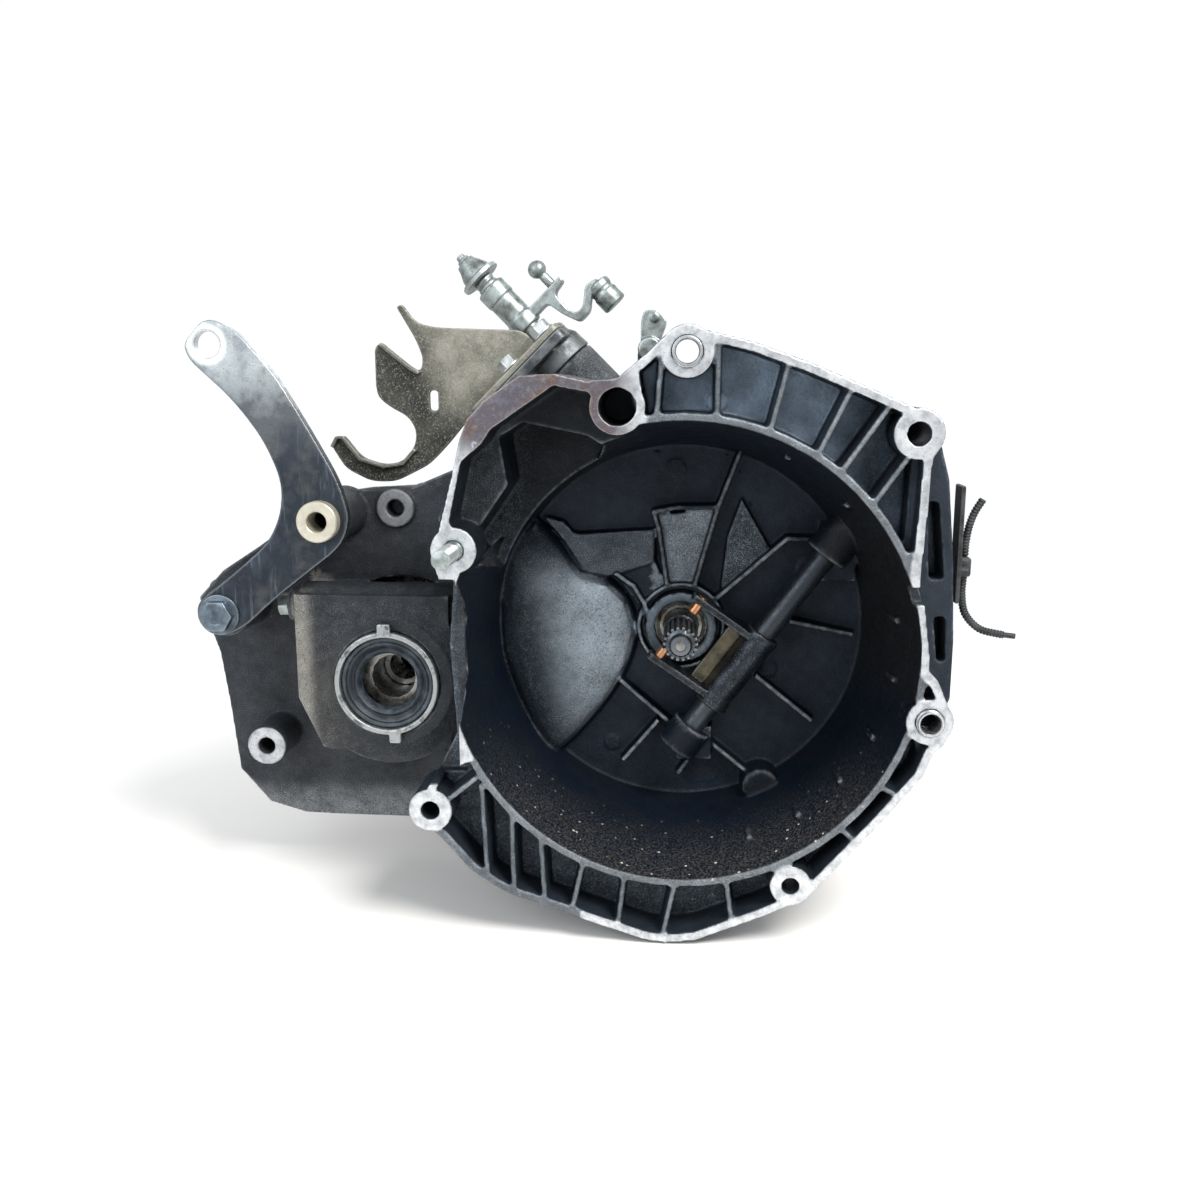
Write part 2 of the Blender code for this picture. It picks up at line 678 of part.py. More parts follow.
INPUT_TO_OUTPUT = gear_angle(INPUT, OUTPUT)
OUTPUT_TO_FINAL = gear_angle(OUTPUT, FINAL)


def spur_loops(teeth, module, first, last, phase):
    radius = teeth * module / 2
    root = radius - DEDENDUM * module
    tip = radius + ADDENDUM * module
    return [toothed(teeth, root, tip, first, phase), toothed(teeth, root, tip, last, phase)]


def pair_module(gear):
    return module_of(GEAR_PAIRS[gear][:2], math.dist(INPUT, OUTPUT))


def input_gear_loops(gear):
    teeth, _, first, last = GEAR_PAIRS[gear]
    return spur_loops(teeth, pair_module(gear), first, last, INPUT_TO_OUTPUT)


def input_shaft():
    """The input shaft with its spline and the first and second gears cut into it."""
    spline = [toothed(18, 9.4, 11.2, y, 0.0, 0.55, 0.4) for y in (42.0, 76.0)]
    loops = turned_loops(((2.5, 36), (6.2, 36.4), (7.4, 38), (7.4, 41), (9.2, 42)))
    loops += spline + turned_loops(((9.2, 76), (11.5, 78), (SHAFT_RADIUS, 99), (SHAFT_RADIUS, 156)))
    for gear, next_face in ((1, GEAR_PAIRS[2][2]), (2, INPUT_END)):
        loops += input_gear_loops(gear)
        loops += turned_loops(((SHAFT_RADIUS, GEAR_PAIRS[gear][3]), (SHAFT_RADIUS, next_face)))
    finish(spun("input_shaft", loops, INPUT), steel("input_shaft"))


def input_gears():
    for gear in (3, 4, 5):
        first, last = GEAR_PAIRS[gear][2:]
        bore = SHAFT_RADIUS + GAP
        loops = [circle(bore, first)] + input_gear_loops(gear) + [circle(bore, last)]
        name = f"input_gear_{gear}"
        finish(spun(name, loops, INPUT, True), steel(name))


def sleeve_of(gear):
    return {1: "12", 2: "12", 3: "34", 4: "34", 5: "5"}[gear]


def driven_gears():
    """The loose gears on the output shaft, each with a dog ring that faces its synchroniser."""
    for gear, (driver, teeth, first, last) in GEAR_PAIRS.items():
        phase = INPUT_TO_OUTPUT + math.pi + math.pi / teeth
        body = spur_loops(teeth, pair_module(gear), first, last, phase)
        bore = running_bore(SHAFT_RADIUS)
        dog = HUB_RADIUS - 4.0
        name = f"driven_gear_{gear}"
        if SLEEVES[sleeve_of(gear)] > last:
            loops = [circle(bore, first)] + body + [circle(dog, last), circle(dog, last + 5), circle(bore, last + 5)]
        else:
            loops = [circle(bore, first - 5), circle(dog, first - 5), circle(dog, first)] + body + [circle(bore, last)]
        finish(spun(name, loops, OUTPUT, True), steel(name))


def output_shaft():
    """The output shaft with the final drive's pinion and the three synchroniser hubs."""
    teeth = FINAL_TEETH[0]
    module = module_of(FINAL_TEETH, math.dist(OUTPUT, FINAL))
    loops = turned_loops(((SHAFT_RADIUS, 100), (SHAFT_RADIUS, 124)))
    loops += spur_loops(teeth, module, 124.0, 152.0, OUTPUT_TO_FINAL)
    loops += turned_loops(((SHAFT_RADIUS, 152),))
    for middle in SLEEVES.values():
        half = SLEEVE_LENGTH / 2 - 0.5
        hub = (SHAFT_RADIUS, middle - half), (HUB_RADIUS, middle - half), (HUB_RADIUS, middle + half)
        loops += turned_loops((*hub, (SHAFT_RADIUS, middle + half)))
    loops += turned_loops(((SHAFT_RADIUS, 352),))
    finish(spun("output_shaft", loops, OUTPUT), steel("output_shaft"))


def sleeves():
    for label, middle in SLEEVES.items():
        half = SLEEVE_LENGTH / 2
        inner = HUB_RADIUS + GAP
        profile = [(inner, middle - half), (SLEEVE_RADIUS, middle - half), (SLEEVE_RADIUS, middle - 3.6)]
        profile += [(GROOVE_RADIUS, middle - 3.6), (GROOVE_RADIUS, middle + 3.6), (SLEEVE_RADIUS, middle + 3.6)]
        profile += [(SLEEVE_RADIUS, middle + half), (inner, middle + half)]
        name = f"sleeve_{label}"
        ring_part(name, steel(name), OUTPUT, profile, ROUND)


def shift_forks():
    """Each fork is a half ring in its sleeve's groove, a web, and the rail that it slides on."""
    for label, middle in SLEEVES.items():
        x, z = RAILS[label]
        inner = GROOVE_RADIUS + 0.6
        outer = SLEEVE_RADIUS + 7.0
        centre = Vector(OUTPUT)
        towards = (Vector((x, z)) - centre).normalized()
        start = math.atan2(towards.y, towards.x)
        angles = [start + math.radians(-78 + 156 * i / 10) for i in range(11)]
        outline = [(centre.x + outer * math.cos(a), centre.y + outer * math.sin(a)) for a in angles]
        outline += [(centre.x + inner * math.cos(a), centre.y + inner * math.sin(a)) for a in reversed(angles)]
        side = Vector((-towards.y, towards.x))
        foot = centre + towards * (outer - 3)
        head = Vector((x, z))
        web = [foot - side * 14, foot + side * 14, head + side * 6, head - side * 6]
        fork = prism(outline, middle - 3, middle + 3)
        ends = (152.0, 290.0) if label != "5" else (228.0, 344.0)
        joined = [prism([tuple(point) for point in web], middle - 3, middle + 3), drum((x, z), 6.0, *ends, 16)]
        name = f"shift_fork_{label}"
        built(name, steel(name), fork, joined, (), (x, middle, z))


def reverse_idler():
    """The reverse gear, in one piece with the journals that it turns on."""
    gear = spur_loops(12, 2.4, 186.0, 198.0, 0.0)
    loops = [*turned_loops(((8.0, 160), (8.0, 186))), *gear, *turned_loops(((8.0, 198), (8.0, 285.6)))]
    finish(spun("reverse_idler", loops, IDLER), steel("reverse_idler"))


def ring_gear():
    teeth = FINAL_TEETH[1]
    module = module_of(FINAL_TEETH, math.dist(OUTPUT, FINAL))
    phase = OUTPUT_TO_FINAL + math.pi + math.pi / teeth
    first, last = FINAL_WIDTH
    loops = [circle(60.3, first), *spur_loops(teeth, module, first, last, phase), circle(60.3, last)]
    finish(spun("ring_gear", loops, FINAL, True), steel("ring_gear"))


def differential_case():
    """The carrier: a hub on each side for its bearing, a flange for the ring gear, and bores for the axles and pin."""
    outside = [(22, 68), (22, 88), (44, 100), (44, 120), (60, 128), (60, 149.3), (76, 149.3), (76, 154.4)]
    outside += [(46, 155.2), (44, 176), (22, 189), (22, 206)]
    case = spun("case", turned_loops(outside), FINAL)
    x, z = FINAL
    cut = [
        drum(FINAL, 30.0, DIFF_CENTRE - 21, DIFF_CENTRE + 21),
        drum(FINAL, 15.0 + GAP, 60.0, 215.0),
        bar((x, DIFF_CENTRE, z - 62), (x, DIFF_CENTRE, z + 62), 7.0 + GAP, 16),
    ]
    built("differential_case", steel("differential_case"), case, (), cut, (x, DIFF_CENTRE, z))
    pin = bar((x, DIFF_CENTRE, z - 58), (x, DIFF_CENTRE, z + 58), 7.0, 16)
    built("differential_pin", steel("differential_pin"), pin, (), (), (x, DIFF_CENTRE, z))


def bevel_loops(teeth, mate, phase, bore, hub, back, inner_scale=0.6):
    """Loops of a bevel gear whose apex is the origin and whose back faces +Y."""
    slope = math.atan2(teeth, mate)
    reach = teeth * BEVEL_MODULE / 2 / math.sin(slope)
    low = DEDENDUM * BEVEL_MODULE * 0.9
    high = ADDENDUM * BEVEL_MODULE * 0.6
    half = math.pi / teeth
    loops = []
    for scale in (inner_scale, 1.0):
        loop = []
        for i in range(teeth):
            middle = phase + i * math.tau / teeth
            for height, offset in ((-low, -0.48), (high, -0.16), (high, 0.16), (-low, 0.48)):
                radius = (reach * math.sin(slope) + height * math.cos(slope)) * scale
                y = (reach * math.cos(slope) - height * math.sin(slope)) * scale
                angle = middle + offset * half
                loop.append(Vector((radius * math.cos(angle), y, radius * math.sin(angle))))
        loops.append(loop)
    front = min(point.y for point in loops[0])
    first = circle(bore, front, 16)
    last = circle(bore, back, 16)
    return [first, *loops, circle(hub, loops[1][0].y + 1.0, 16), circle(hub, back, 16), last]


def differential_gears():
    """Two side gears on the axle line and two planet gears on the pin."""
    centre = Vector((FINAL[0], DIFF_CENTRE, FINAL[1]))
    for name, direction in (("side_gear_left", -1.0), ("side_gear_right", 1.0)):
        loops = bevel_loops(SIDE_TEETH, PLANET_TEETH, math.pi / 2, 11.0, 14.6, 38.0)
        if direction < 0:
            loops = [[Vector((p.x, -p.y, p.z)) for p in loop] for loop in loops]
        bm = bmesh.new()
        ring_loops(bm, loops, True)
        bmesh.ops.translate(bm, verts=bm.verts, vec=centre)
        finish(object_from(name, bm, centre), steel(name))
    for name, direction in (("planet_gear_upper", 1.0), ("planet_gear_lower", -1.0)):
        loops = bevel_loops(PLANET_TEETH, SIDE_TEETH, math.pi / 2 + math.pi / PLANET_TEETH, 7.5, 11.0, 26.0)
        bm = bmesh.new()
        ring_loops(bm, loops, True)
        turn = Matrix.Rotation(math.radians(90 * direction), 3, "X")
        bmesh.ops.rotate(bm, verts=bm.verts, cent=(0.0, 0.0, 0.0), matrix=turn)
        bmesh.ops.translate(bm, verts=bm.verts, vec=centre)
        finish(object_from(name, bm, centre), steel(name))


def dowel_sleeves():
    for name, spec in (("dowel_sleeve_top", TOP_BOSS), ("dowel_sleeve_right", RIGHT_BOSS)):
        outer = spec[3] - GAP
        profile = [(outer - 2.2, -4), (outer - 0.6, -4), (outer, -3), (outer, 14), (outer - 2.2, 14)]
        ring_part(name, steel(name), spec[:2], profile, 16)


def flange_stud():
    """A threaded stud with a plain collar where it enters its boss."""
    profile = ((4.6, -38), (5.9, -36), (5.9, -9), (5.0, -8), (5.0, -4), (5.9, -3), (5.9, 30))
    finish(spun("flange_stud", turned_loops(profile, 16), STUD_BOSS[:2]), zinc("flange_stud"))


def mount_arm():
    """A thick plate that bends from a foot on the casing, past a spacer, up to an eye."""
    outline = [
        (-326, 191), (-319, 203), (-306, 208), (-292, 204), (-284, 196), (-263, 172), (-242, 136), (-224, 103),
        (-217, 78), (-224, 60), (-254, 37), (-272, 23), (-293, 4), (-310, -3), (-324, 5), (-325, 20),
        (-295, 43), (-272, 63), (-263, 83), (-262, 103), (-272, 129), (-291, 155), (-318, 180),
    ]
    plate = prism(outline, 51.0, 59.0)
    cut = [
        drum(ARM_EYE, 8.5, 50.0, 60.0),
        drum(ARM_SPACER, 8.3, 50.0, 60.0),
        drum(ARM_BOLT, 6.5, 50.0, 60.0, 16),
    ]
    return built("mount_arm", material("mount_arm_steel", (0.2, 0.22, 0.25), 0.45, 0.85), plate, (), cut)


def arm_hardware():
    profile = [(6.7, 42), (13.5, 42), (13.5, 50.7), (8, 50.7), (8, 59.6), (6.7, 59.6)]
    cream = material("arm_spacer_plating", (0.66, 0.62, 0.5), 0.45, 0.7)
    ring_part("arm_spacer", cream, ARM_SPACER, profile, 16)
    head = [circle(11, 42, 6), circle(11, 48.5, 6)]
    shank = turned_loops(((14, 48.5), (14, 50.7), (6, 50.7), (6, 84)))
    finish(spun("arm_bolt", head + shank, ARM_BOLT), zinc("arm_bolt"))


def cross_plug():
    """The hex plug in the tower's cross bore."""
    cross = [circle(8.5, 0, 6), circle(8.5, 7, 6), *turned_loops(((5.6, 7), (5.6, 20)))]
    finish(aimed("cross_plug", cross, (-274.0, 72.0, 17.0), (1.0, 0.0, 0.0)), zinc("cross_plug"))


def cable_bracket():
    """A bent sheet: a foot along the selector's plate and a wing with slots for the cable ends."""
    wing = [
        (-200, 217), (-196, 219), (-186, 206), (-172, 203), (-112, 201), (-100, 190), (-150, 141), (-166, 122),
        (-180, 108), (-204, 96), (-222, 96), (-240, 105), (-250, 121), (-246, 128), (-240, 128), (-228, 113),
        (-212, 108), (-199, 110), (-190, 120), (-188, 132), (-194, 142), (-206, 148), (-216, 156), (-216, 190),
        (-211, 193), (-200, 184), (-190, 176), (-184, 173), (-182, 182), (-187, 195),
    ]
    plate = prism(wing, 124.0, 128.0)
    foot = slab(SELECTOR_FOOT, along_selector(2.0), SELECTOR_SIDE, (0, 1, 0), 4.0)
    cut = [
        bar(along_selector(-4), along_selector(8), 14.3),
        block((-178, 120, 146), (-172, 150, 160)),
        *[bar(along_selector(-4, *place), along_selector(8, *place), 4.3, 12) for place in BRACKET_BOLTS],
    ]
    beige = material("cable_bracket_sheet", (0.42, 0.4, 0.33), 0.6, 0.4)
    return built("cable_bracket", beige, plate, [foot], cut)


def bracket_bolts():
    for name, place in zip(("bracket_bolt_left", "bracket_bolt_right"), BRACKET_BOLTS):
        loops = [circle(4.0, -6, 12), circle(4.0, 4.3, 12), circle(8.0, 4.3, 12), circle(8.0, 6, 12)]
        loops += [circle(6.5, 6, 6), circle(6.5, 12, 6)]
        finish(aimed(name, loops, along_selector(0, *place), SELECTOR_UP), zinc(name))


def selector_turret():
    """The housing that carries the selector shaft, with a plate under the cable bracket's foot."""
    foot = slab(SELECTOR_FOOT, along_selector(-4.0), SELECTOR_SIDE, (0, 1, 0), 7.4)
    joined = [
        bar(along_selector(-19.6), along_selector(-1), 22.0, 20),
        bar(along_selector(-2), along_selector(7), 14.0),
    ]
    cut = [
        bar(along_selector(-30), along_selector(60), 8.0 + GAP),
        *[bar(along_selector(-9, *place), along_selector(1, *place), 4.3, 12) for place in BRACKET_BOLTS],
    ]
    return built("selector_turret", zinc("selector_turret"), foot, joined, cut)


def selector_parts():
    """The selector shaft with its finger, the cap on its end, and the shift lever with its stud and weight."""
    shaft = bar(along_selector(-64), along_selector(63), 8.0)
    finger = slab([(0, -62), (11.5, -62), (11.5, -52), (0, -52)], SELECTOR_POINT, SELECTOR_SIDE, SELECTOR_UP, 8.0)
    built("selector_shaft", steel("selector_shaft"), shaft, [finger], (), SELECTOR_POINT)
    cap = turned_loops(((15, 63.4), (15, 67), (11, 71), (7, 80), (4.5, 82), (3, 86)), 14)
    finish(aimed("selector_cap", cap, SELECTOR_POINT, SELECTOR_UP), zinc("selector_cap"))
    tube = bar(along_selector(17), along_selector(56), 11.0)
    strap = [
        (8, 19), (21, 19), (23.5, 6), (28, -6), (38, -6), (49, 3), (57, 2), (57, 7), (48, 9), (37, 0), (31, 0),
        (28, 6), (29, 20), (40, 22), (40, 26), (8, 26),
    ]
    ball = turned_loops(((3, 35), (6, 38), (6.5, 41), (6, 44), (3, 47)), 12)
    joined = [
        slab(strap, SELECTOR_POINT, SELECTOR_SIDE, SELECTOR_UP, 14.0),
        bar(along_selector(5, 54), along_selector(-15, 54), 9.0),
        bar(along_selector(22, 32), along_selector(38, 32), 3.5, 12),
        aimed("ball", ball, along_selector(0, 32), SELECTOR_UP),
    ]
    cut = [bar(along_selector(10), along_selector(60), 8.0 + GAP)]
    built("shift_lever", zinc("shift_lever"), tube, joined, cut, SELECTOR_POINT)


def relay_parts():
    """The bracket beside the turret and the relay lever that slides the selector shaft."""
    post = [(-30, 146.0), (-14, 142.3), (-15, 182), (-16, 194), (-28, 196), (-33, 186)]
    bracket = prism(post, 131.0, 141.0)
    built("relay_bracket", casting("relay_bracket"), bracket, (), [drum(RELAY_PIVOT, 4.3, 120, 150, 16)])
    hub = drum(RELAY_PIVOT, 8.0, 116.0, 130.7)
    arm = prism([(-30, 190), (-20, 184), (-12, 206), (-18, 214), (-28, 214), (-30, 206)], 118.0, 124.0)
    pin = drum(RELAY_PIVOT, 4.0, 117.0, 144.0, 16)
    origin = (RELAY_PIVOT[0], 120.0, RELAY_PIVOT[1])
    built("relay_lever", zinc("relay_lever"), hub, [arm, pin], (), origin)


def release_parts():
    """The clutch release shaft, the fork on it with its two pads, and the lever outside the bell."""
    shaft = bar(along_release(-65), along_release(150), 8.0)
    built("release_shaft", steel("release_shaft"), shaft, (), (), RELEASE_POINT)
    tube = bar(along_release(-31), along_release(31), 12.5)
    joined = []
    blade = [(-8, -12), (14, -12), (RELEASE_REACH + 7, 3), (RELEASE_REACH + 7, 16), (20, 12), (-8, 8)]
    for side in (-25.0, 25.0):
        joined.append(slab(blade, along_release(side), RELEASE_ACROSS, (0, -1, 0), 5.0))
    web = [(8, -6), (22, -6), (22, -1), (8, -1)]
    joined.append(slab(web, along_release(0), RELEASE_ACROSS, (0, -1, 0), 50.0))
    cut = [bar(along_release(-40), along_release(40), 8.0 + GAP)]
    reach = RELEASE_REACH
    for side in (-1.0, 1.0):
        cut.append(bar(along_release(20 * side, reach, 10), along_release(30 * side, reach, 10), 3.5 + GAP, 12))
    built("release_fork", steel("release_fork"), tube, joined, cut, RELEASE_POINT)
    copper = material("fork_pad_copper", (0.55, 0.3, 0.16), 0.35, 1.0)
    for name, side in (("fork_pad_upper", 1.0), ("fork_pad_lower", -1.0)):
        pad = bar(along_release(15 * side, reach, 10), along_release(28 * side, reach, 10), 3.5, 12)
        built(name, copper, pad, (), (), RELEASE_POINT)
    lever = bar(along_release(134), along_release(148), 14.0)
    arm = slab([(6, -70), (-6, -70), (-9, 0), (9, 0)], along_release(141), RELEASE_ACROSS, (0, -1, 0), 8.0)
    cut = [
        bar(along_release(127), along_release(157), 8.0 + GAP),
        bar(along_release(132, 0, -63), along_release(150, 0, -63), 3.5, 12),
    ]
    built("release_lever", steel("release_lever"), lever, [arm], cut, RELEASE_POINT)


def conduit_clip():
    strip = block((166.4, 18, 34), (169.4, 34, 106))
    grip = block((168, 22, 50), (176, 34, 62))
    dark = material("conduit_clip_plastic", (0.05, 0.055, 0.06), 0.6, 0.0)
    return built("conduit_clip", dark, strip, [grip])


def smooth_route(points, spacing):
    """Points along a smooth curve through a few, a spacing apart."""
    points = [Vector(point) for point in points]
    points = [points[0] * 2 - points[1], *points, points[-1] * 2 - points[-2]]
    path = []
    for i in range(1, len(points) - 2):
        a, b, c, d = points[i - 1 : i + 3]
        steps = max(1, round((c - b).length / spacing))
        for step in range(steps):
            t = step / steps
            path.append(
                0.5 * (2 * b + (c - a) * t + (2 * a - 5 * b + 4 * c - d) * t * t + (3 * b - a - 3 * c + d) * t**3)
            )
    return path + [points[-2]]


# Routes of the two loose ends of conduit, from the clip outwards.
CONDUIT_ROUTES = {
    "conduit_long": [(173, 28, 49.6), (172.8, 28, 38), (175.5, 28, 26), (184, 27, 17), (195, 26, 14), (206, 26, 12.5)],
    "conduit_short": [(173, 28, 62.4), (173.2, 28, 70), (174.6, 28, 80), (177.5, 28, 89), (182, 28, 97)],
}


def conduits():
    for name, route in CONDUIT_ROUTES.items():
        curve = bpy.data.curves.new(name, "CURVE")
        curve.dimensions = "3D"
        curve.bevel_depth = CONDUIT_DIAMETER / 2 * MM
        curve.bevel_resolution = 2
        curve.use_fill_caps = True
        path = smooth_route(route, CONDUIT_DIAMETER * 2.2)
        spline = curve.splines.new("POLY")
        spline.points.add(len(path) - 1)
        for point, place in zip(spline.points, path):
            point.co = (*(place * MM), 1.0)
        curve.materials.append(rubber(name))
        obj = bpy.data.objects.new(name, curve)
        bpy.context.scene.collection.objects.link(obj)


def main():
    clear_scene()
    bell_housing()
    gear_case()
    end_cover()
    bearings()
    differential_ring()
    seals()
    input_shaft()
    input_gears()
    output_shaft()
    driven_gears()
    sleeves()
    shift_forks()
    reverse_idler()
    ring_gear()
    differential_case()
    differential_gears()
    dowel_sleeves()
    flange_stud()
    mount_arm()
    arm_hardware()
    cross_plug()
    cable_bracket()
    bracket_bolts()
    selector_turret()
    selector_parts()
    relay_parts()
    release_parts()
    conduit_clip()
    conduits()


main()
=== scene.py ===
import math

import bmesh
import bpy
import numpy as np
from mathutils import Matrix, Vector


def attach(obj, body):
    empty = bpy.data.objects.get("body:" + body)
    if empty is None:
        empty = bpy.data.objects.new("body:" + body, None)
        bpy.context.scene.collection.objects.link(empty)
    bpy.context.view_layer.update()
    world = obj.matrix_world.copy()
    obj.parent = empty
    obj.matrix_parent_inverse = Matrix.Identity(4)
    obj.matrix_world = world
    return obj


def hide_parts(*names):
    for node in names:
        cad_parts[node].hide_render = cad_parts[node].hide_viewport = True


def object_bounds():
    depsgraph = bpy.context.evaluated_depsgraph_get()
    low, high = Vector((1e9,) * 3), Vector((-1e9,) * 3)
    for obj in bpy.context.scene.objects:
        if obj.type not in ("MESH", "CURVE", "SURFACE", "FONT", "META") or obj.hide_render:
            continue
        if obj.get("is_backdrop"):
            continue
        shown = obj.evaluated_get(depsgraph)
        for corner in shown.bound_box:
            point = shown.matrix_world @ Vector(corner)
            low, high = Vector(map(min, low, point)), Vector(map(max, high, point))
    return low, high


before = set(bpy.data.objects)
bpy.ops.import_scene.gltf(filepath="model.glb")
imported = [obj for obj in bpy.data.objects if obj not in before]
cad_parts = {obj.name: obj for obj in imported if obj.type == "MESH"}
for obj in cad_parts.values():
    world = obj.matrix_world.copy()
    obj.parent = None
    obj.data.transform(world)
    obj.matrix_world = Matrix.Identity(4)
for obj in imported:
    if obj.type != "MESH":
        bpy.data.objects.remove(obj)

MM = 0.001
CAMERA_PLACE = (0.00076, -0.68384, 0.17362)
CAMERA_YAW = -4.1777
CAMERA_PITCH = 11.2807
CAD_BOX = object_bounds()
Y_AXIS = Vector((0.0, 1.0, 0.0))

# Millimetres, in the frame's axes. Bosses are (x, z, radius, bore).
INPUT = (0.0, 0.0)
FINAL = (-196.0, -32.0)
BELL_RADIUS = 145.0
BELL_FLOOR_RADIUS = 125.0
FLOOR_FRONT = 106.0
JOINT = 118.0
CASE_BACK = 300.0
FLANGE_BOSSES = {
    "top": (1.7, 184.8, 15.5, 9.3),
    "top_right": (136.7, 137.6, 14.8, 7.0),
    "right": (152.0, -36.5, 14.3, 8.7),
    "bottom": (71.5, -146.0, 13.0, 5.5),
    "lower_left": (-158.0, -102.0, 14.0, 6.0),
    "stud": (-138.9, 66.0, 14.2, 6.3),
    "starter": (-39.2, 152.7, 16.5, 11.2),
}
EAR_BOSS = (-288.0, -84.0, 13.5, 6.0)
REAR_BOSS = (-199.0, 80.0, 13.5, 6.0)
ARM_EYE = (-306.0, 190.0)
ARM_SPACER = (-237.0, 77.0)
ARM_BOLT = (-309.0, 13.0)
RELAY_PIVOT = (-24.0, 188.0)
DRAIN_BOSS = (-250.0, -110.0)
SELECTOR_POINT = Vector((-97.0, 140.0, 191.0))
SELECTOR_UP = Vector((-1.0, 0.0, 1.0)).normalized()
SELECTOR_SIDE = Vector((1.0, 0.0, 1.0)).normalized()
BRACKET_BOLTS = ((-26.0, -25.0), (6.0, -25.0))
RELEASE_POINT = Vector((38.3, 88.0, -27.7))
RELEASE_ALONG = Vector((0.587, 0.0, 0.81)).normalized()
RELEASE_ACROSS = Vector((-0.81, 0.0, 0.587)).normalized()
RELEASE_REACH = 49.0
CONDUIT_DIAMETER = 5.0
CONDUIT_ROUTES = {
    "conduit_long": [
        (173, 28, 49.6), (172.8, 28, 38), (175.5, 28, 26), (184, 27, 17), (195, 26, 14), (206, 26, 12.5),
    ],
    "conduit_short": [(173, 28, 62.4), (173.2, 28, 70), (174.6, 28, 80), (177.5, 28, 89), (182, 28, 97)],
}


def along_release(distance, across=0.0, forward=0.0):
    return RELEASE_POINT + RELEASE_ALONG * distance + RELEASE_ACROSS * across - Y_AXIS * forward


def along_selector(distance, side=0.0, back=0.0):
    return SELECTOR_POINT + SELECTOR_UP * distance + SELECTOR_SIDE * side + Y_AXIS * back


# ---------------------------------------------------------------- camera, light and floor


def look(obj, yaw, pitch):
    """Points a camera's -Z: yaw from +Y towards +X, pitch down, in degrees."""
    yaw, pitch = math.radians(yaw), math.radians(pitch)
    flat = math.cos(pitch)
    forward = Vector((math.sin(yaw) * flat, math.cos(yaw) * flat, -math.sin(pitch)))
    obj.rotation_euler = forward.to_track_quat("-Z", "Y").to_euler()


def add_camera():
    data = bpy.data.cameras.new("camera")
    data.lens = 34.5
    data.sensor_width = 36.0
    camera = bpy.data.objects.new("camera", data)
    bpy.context.scene.collection.objects.link(camera)
    camera.location = CAMERA_PLACE
    look(camera, CAMERA_YAW, CAMERA_PITCH)
    bpy.context.scene.camera = camera


def add_lamp(name, place, target, size, power, colour=(1.0, 1.0, 1.0)):
    data = bpy.data.lights.new(name, "AREA")
    data.shape = "DISK"
    data.size = size
    data.energy = power
    data.color = colour
    lamp = bpy.data.objects.new(name, data)
    bpy.context.scene.collection.objects.link(lamp)
    lamp.location = place
    lamp.rotation_euler = (Vector(target) - Vector(place)).to_track_quat("-Z", "Y").to_euler()


def add_world():
    """White to the eye, and a softer light on the object."""
    world = bpy.data.worlds.new("studio")
    world.use_nodes = True
    tree = world.node_tree
    background = tree.nodes["Background"]
    background.inputs["Color"].default_value = (0.95, 0.975, 1.0, 1.0)
    seen = tree.nodes.new("ShaderNodeLightPath")
    strength = tree.nodes.new("ShaderNodeMapRange")
    strength.inputs["To Min"].default_value = 0.62
    strength.inputs["To Max"].default_value = 1.06
    tree.links.new(seen.outputs["Is Camera Ray"], strength.inputs["Value"])
    tree.links.new(strength.outputs["Result"], background.inputs["Strength"])
    bpy.context.scene.world = world
    bpy.context.scene.view_settings.view_transform = "Standard"


def add_floor():
    """A pale disc that fades out far from the object."""
    bm = bmesh.new()
    bmesh.ops.create_circle(bm, cap_ends=True, radius=3.0, segments=96)
    mesh = bpy.data.meshes.new("floor")
    bm.to_mesh(mesh)
    bm.free()
    floor = bpy.data.objects.new("floor", mesh)
    floor.location = (-0.09, 0.12, CAD_BOX[0][2] - 0.001)
    bpy.context.scene.collection.objects.link(floor)
    pale = Shade("pale_floor", Roughness=0.95, Base_Color=(0.98, 0.965, 0.94, 1.0))
    pale.shader.inputs["Specular IOR Level"].default_value = 0.1
    pale.link("Alpha", pale.range(pale.calc("LENGTH", pale.place), 0.32, 1.1, 1.0, 0.0))
    mesh.materials.append(pale.material)
    floor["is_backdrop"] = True


# ---------------------------------------------------------------- materials


